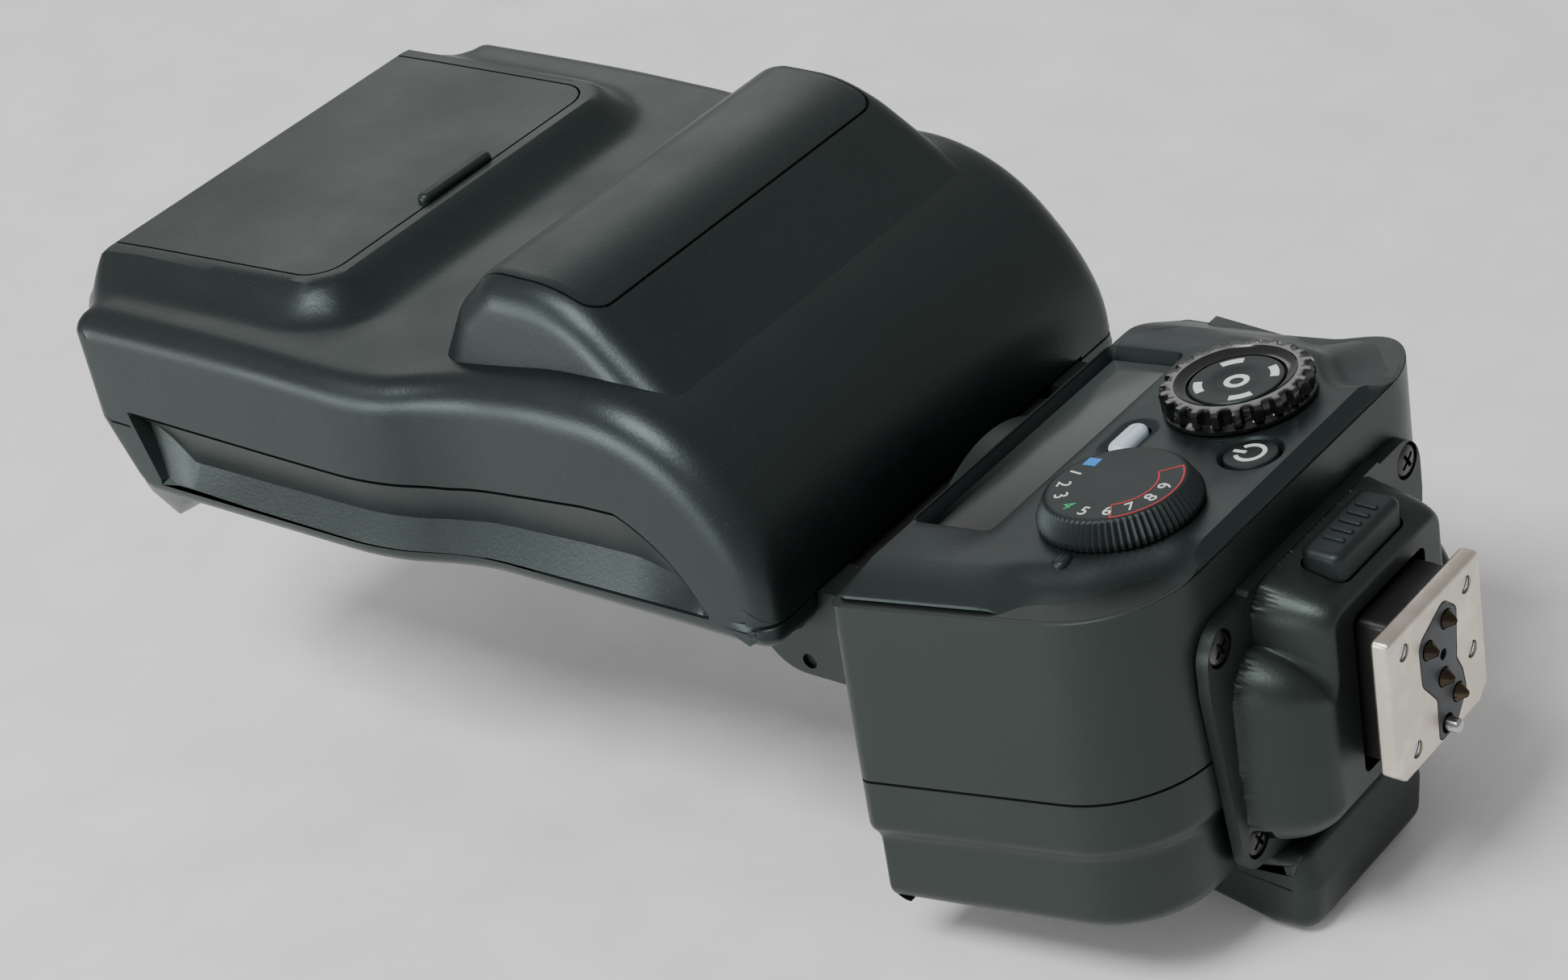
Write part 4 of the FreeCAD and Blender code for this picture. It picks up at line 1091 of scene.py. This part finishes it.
makePiece("pilotCap", *plug(stadium(-32.0, 0.5, 1.25, 2.8, 10), 21.9, 23.1, 0.75, onPanel, 6), milkyButton,
    "pilot", "lamp_button", ("pilot_button",), 50)
print("controls made")


# shoe housing and foot

# A wall with a little draft that rounds over into a flat top.
def softRise(part, power):
    return 1 - (1 - max(0.0, min(1.0, part))) ** power


flangeFace = -13.0
flangeOutline = densify(roundOutline([(-21, 13.3, 4), (-13.1, 13.3, 0.3), (-12.7, 13.75, 0.3),
    (12.7, 13.75, 0.3), (13.1, 13.3, 0.3), (21, 13.3, 4), (21, 6, 5), (17.9, -17.4, 3), (10.5, -18.6, 4),
    (6, -20, 4), (-6, -20, 4), (-10.5, -18.6, 4), (-17.9, -17.4, 3), (-21, 6, 5)], 8), 0.8)


# Depth inside a corner whose two walls are a and b away.
def roundedDepth(a, b, corner):
    if a < corner and b < corner:
        return corner - math.hypot(corner - a, corner - b)
    return min(a, b)


# How far the housing stands out of its flange towards the foot.
def housingHigh(y, z):
    side = abs(y)
    upper = min(roundedDepth(12.7 - side, 13.6 - z, 4.0), z + 12)
    wide = 17.3 - side - max(0.0, -z - 4) * 0.06
    lower = min(roundedDepth(wide, 7.6 - z, 5.0), roundedDepth(wide, z + 16.2, 5.5))
    upperRise = 8.0 * softRise(upper / 2.6, 2.6)
    shoulder = 5.2 * softRise(lower / 3.0, 2.4)
    lowerRise = 8.0 * softRise(lower / 6.6, 2.6)
    values = [upperRise, shoulder, lowerRise]
    top = max(values)
    soft = sum(math.exp((v - top) / 0.6) for v in values)
    blend = 0.6 * math.log(soft) - 0.6 * math.log(1 + 2 * math.exp(-top / 0.6))
    return min(8.0, top + blend * smoothStep(top / 2))


flat = [Vector(p) for p in flangeOutline]
count = len(flat)
for y in spaced(-17.8, 17.8, 0.34):
    flat += [Vector((y, z)) for z in spaced(-16.6, 13.0, 0.34)]
for z in (13.2, 13.35, 13.45, 13.54, 13.6):
    flat += [Vector((y, z)) for y in spaced(-12.4, 12.4, 0.42)]
for z in spaced(-15, 6, 0.42):
    flat += [Vector((side * reach, z)) for side in (-1, 1) for reach in (17.2, 17.0)]
spots, shapes = filled(flat, ringLinks(0, count), count)
points, faces = bridge([[intoX(*p, x) for p in flangeOutline] for x in (-14.38, -13.35, flangeFace)], False)
faces.append(tuple(range(count))[::-1])
start = len(points)
points += [intoX(*p, flangeFace + housingHigh(*p)) for p in spots]
faces += [tuple(start + n for n in face) for face in shapes]
housing = makePiece("shoeHousing", points, faces, *bodySkin, ("shoe_housing",), 50, 0.02)
screwPlaces = [(18.4, 10.6), (-18.4, 10.6), (15.4, -14.6), (-15.4, -14.6)]
cutters = [loose(*prism(circle(y, z, 2.05, 28), -13.95, -11, intoX)) for y, z in screwPlaces]
keyWell = loose(*prism(roundBox(-11.45, -6.55, -6.15, 6.55, 1.5, 6), 11.4, 18))
neckWell = loose(*prism(roundBox(-7.2, -9.6, 7.2, 9.3, 1, 4), -6.6, -4, intoX))
cutWith(housing, *cutters, keyWell, neckWell)


# Rings round an axis along x, from (radius, x) rows.
def turned(y, z, rows, count):
    return bridge([[intoX(*p, x) for p in circle(y, z, radius, count)] for radius, x in rows])


# A straight-sided slit in the plane across x, turned by an angle.
def slitCutter(y, z, turn, half, thin, low, high):
    c, s = math.cos(turn), math.sin(turn)
    corners = [(-half, -thin), (half, -thin), (half, thin), (-half, thin)]
    return loose(*prism([(y + a * c - b * s, z + a * s + b * c) for a, b in corners], low, high, intoX))


# A round head with a cross or straight recess cut into it.
def screwHead(name, y, z, x, radius, dome, cross, material, stands):
    rows = ((radius, -0.5), (radius, dome * 0.3), (radius * 0.86, dome * 0.8), (radius * 0.5, dome),
        (radius * 0.06, dome))
    made = makePiece(name, *turned(y, z, [(r, x + h) for r, h in rows], 36), material, "body", "screw_steel",
        stands, 40)
    half = radius * 0.62 if cross else radius * 1.1
    cutWith(made, *(slitCutter(y, z, turn, half, radius * 0.13, x + dome - 0.45, x + dome + 1)
        for turn in ((0.6, 0.6 + math.pi / 2) if cross else (0.9,))))


for i, (y, z) in enumerate(screwPlaces):
    screwHead(f"housingScrew{i}", y, z, -13.5, 1.8, 0.55, True, zincScrew, () if i else ("housing_screws",))
release = plug(roundBox(-11.2, -6.3, -6.4, 6.3, 1.3, 6), 11.0, 15.3, 0.9, upright, 5)
makePiece("releaseKey", *release, dialPlastic, "release", "button_plastic", ("release_button",), 50)
for i, y in enumerate((-3.2, -1.6, 0.0, 1.6, 3.2)):
    ridge = roundBox(-10.1, y - 0.35, -7.5, y + 0.35, 0.3, 4)
    makePiece(f"releaseRib{i}", *plug(ridge, 15.1, 15.55, 0.2, upright), dialPlastic, "release",
        "button_plastic")

neck = prism(roundBox(-6.2, -8.4, 6.2, 8.5, 0.8, 4), -6.5, -1.9, intoX)
makePiece("shoeNeck", *neck, neckMetalAndShade, "body", "black_metal", ("shoe_neck",), 40)
footOutline = roundOutline([(-9.3, 8.75, 0.6), (9.3, 8.75, 0.6), (9.3, -7.1, 0.5), (7.5, -8.75, 0.5),
    (-7.5, -8.75, 0.5), (-9.3, -7.1, 0.5)], 5)
footLoops = [[intoX(*p, x) for p in (insetLoop(footOutline, d) if d else footOutline)] for d,
    x in ((0.35, -2.0), (0.1, -1.92), (0.0, -1.7), (0.0, -0.42), (0.1, -0.18), (0.3, -0.04), (0.5, 0.0))]
foot = makePiece("footPlate", *bridge(footLoops), nickel, "body", "plated_steel", ("foot_plate",), 24)
insulator = roundOutline([(1.6, 7.4, 1.2), (-3.6, 5.2, 1.6), (-3.4, 0.2, 1.6), (-0.8, -3.0, 1.2),
    (-0.9, -8.2, 0.8), (2.4, -8.2, 0.8), (4.9, -5.2, 1.4), (4.4, -2.6, 0.8), (3.4, -0.6, 0.8),
    (4.0, 5.2, 1.2)], 8)
screwSpots = [(6.2, 6.4), (6.6, -1.6), (-6.4, 6.2), (-5.2, -6.2)]
pinSpots = [(1.9, 5.0), (-1.9, 3.6), (0.7, -1.2), (3.2, -4.6)]
lockSpot = (0.8, -6.9)
cutters = [loose(*prism(insetLoop(insulator, -0.12), -0.5, 1, intoX))]
cutters += [loose(*prism(circle(y, z, 0.98, 24), -0.4, 1, intoX)) for y, z in screwSpots]
cutters += [loose(*prism(circle(y, z, 1.14, 24), -3, -0.3, intoX)) for y, z in pinSpots + [lockSpot]]
cutWith(foot, *cutters)
block = makePiece("contactInsulator", *plug(insulator, -0.6, 0.03, 0.12, intoX), contactPlastic, "body",
    "contact_plastic", ("contact_block",), 40)
cutters = [loose(*prism(circle(y, z, 1.12, 24), -1, 1, intoX)) for y, z in pinSpots + [lockSpot]]
cutters.append(loose(*prism(circle(0.9, 1.4, 0.62, 20), -0.5, 1, intoX)))
cutWith(block, *cutters)
for i, (y, z) in enumerate(screwSpots):
    screwHead(f"footScrew{i}", y, z, -0.3, 0.9, 0.2, False, brightSteel, () if i else ("foot_screws",))
pinRows = ((1.0, -0.4), (1.0, 0.12), (0.92, 0.24), (0.34, 1.12), (0.2, 1.2), (0.03, 1.22))
for i, (y, z) in enumerate(pinSpots):
    pin = makePiece(f"contactPin{i}", *turned(y, z, pinRows, 32), dullGold, "contacts", "gold_contact",
        () if i else ("contact_pins",), 30)
    cutWith(pin, slitCutter(y, z, 0.75, 1.3, 0.1, 0.3, 1.6))
lockRows = ((0.8, -0.25), (0.8, 1.2), (0.72, 1.42), (0.5, 1.56), (0.25, 1.62), (0.03, 1.64))
makePiece("lockPin", *turned(*lockSpot, lockRows, 32), brightSteel, "lock", "pin_steel", ("lock_pin",), 40)
print("foot made")


# parts that stay as CAD, each with its real finish, except the tilt bracket, which is darkened as painted
# shade

finishes = (
    (brightSteel,
     "battery_springs door_pin mode_switch command_switch button_switches swivel_retainer tilt_shaft "
                  "detent_discs guide_rods lead_screw zoom_motor"),
    (cageNylon, "battery_cage door_slider lens_clips"), (boardEpoxy, "assist_board main_board head_board"),
    (redAcrylic, "assist_window"), (redLamp, "assist_lamps"), (cellWrap, "battery_cells"), (lcdCell,
                                                                                            "lcd_module"),
    # painted shade: the tilt bracket is black so that where it shows through the pocket under the head's rear
    # wall, it reads as the shade there
    (neckMetalAndShade, "tilt_bracket"), (lensAcrylic, "flash_lens"), (milkyAcrylic, "wide_panel"),
    (whiteCard, "bounce_card"), (mirrorSheet, "reflector"), (quartz, "flash_tube"), (silicone, "tube_boots"),
    (whiteNylon, "zoom_carriage"), (shrinkSleeve, "main_capacitor"), (coilTape, "trigger_coil"),
)
nodeFinish = {name: finish for finish, names in finishes for name in names.split()}
for name, obj in nodes.items():
    for slot in obj.material_slots:
        slot.material = nodeFinish.get(name, bodyPlastic)
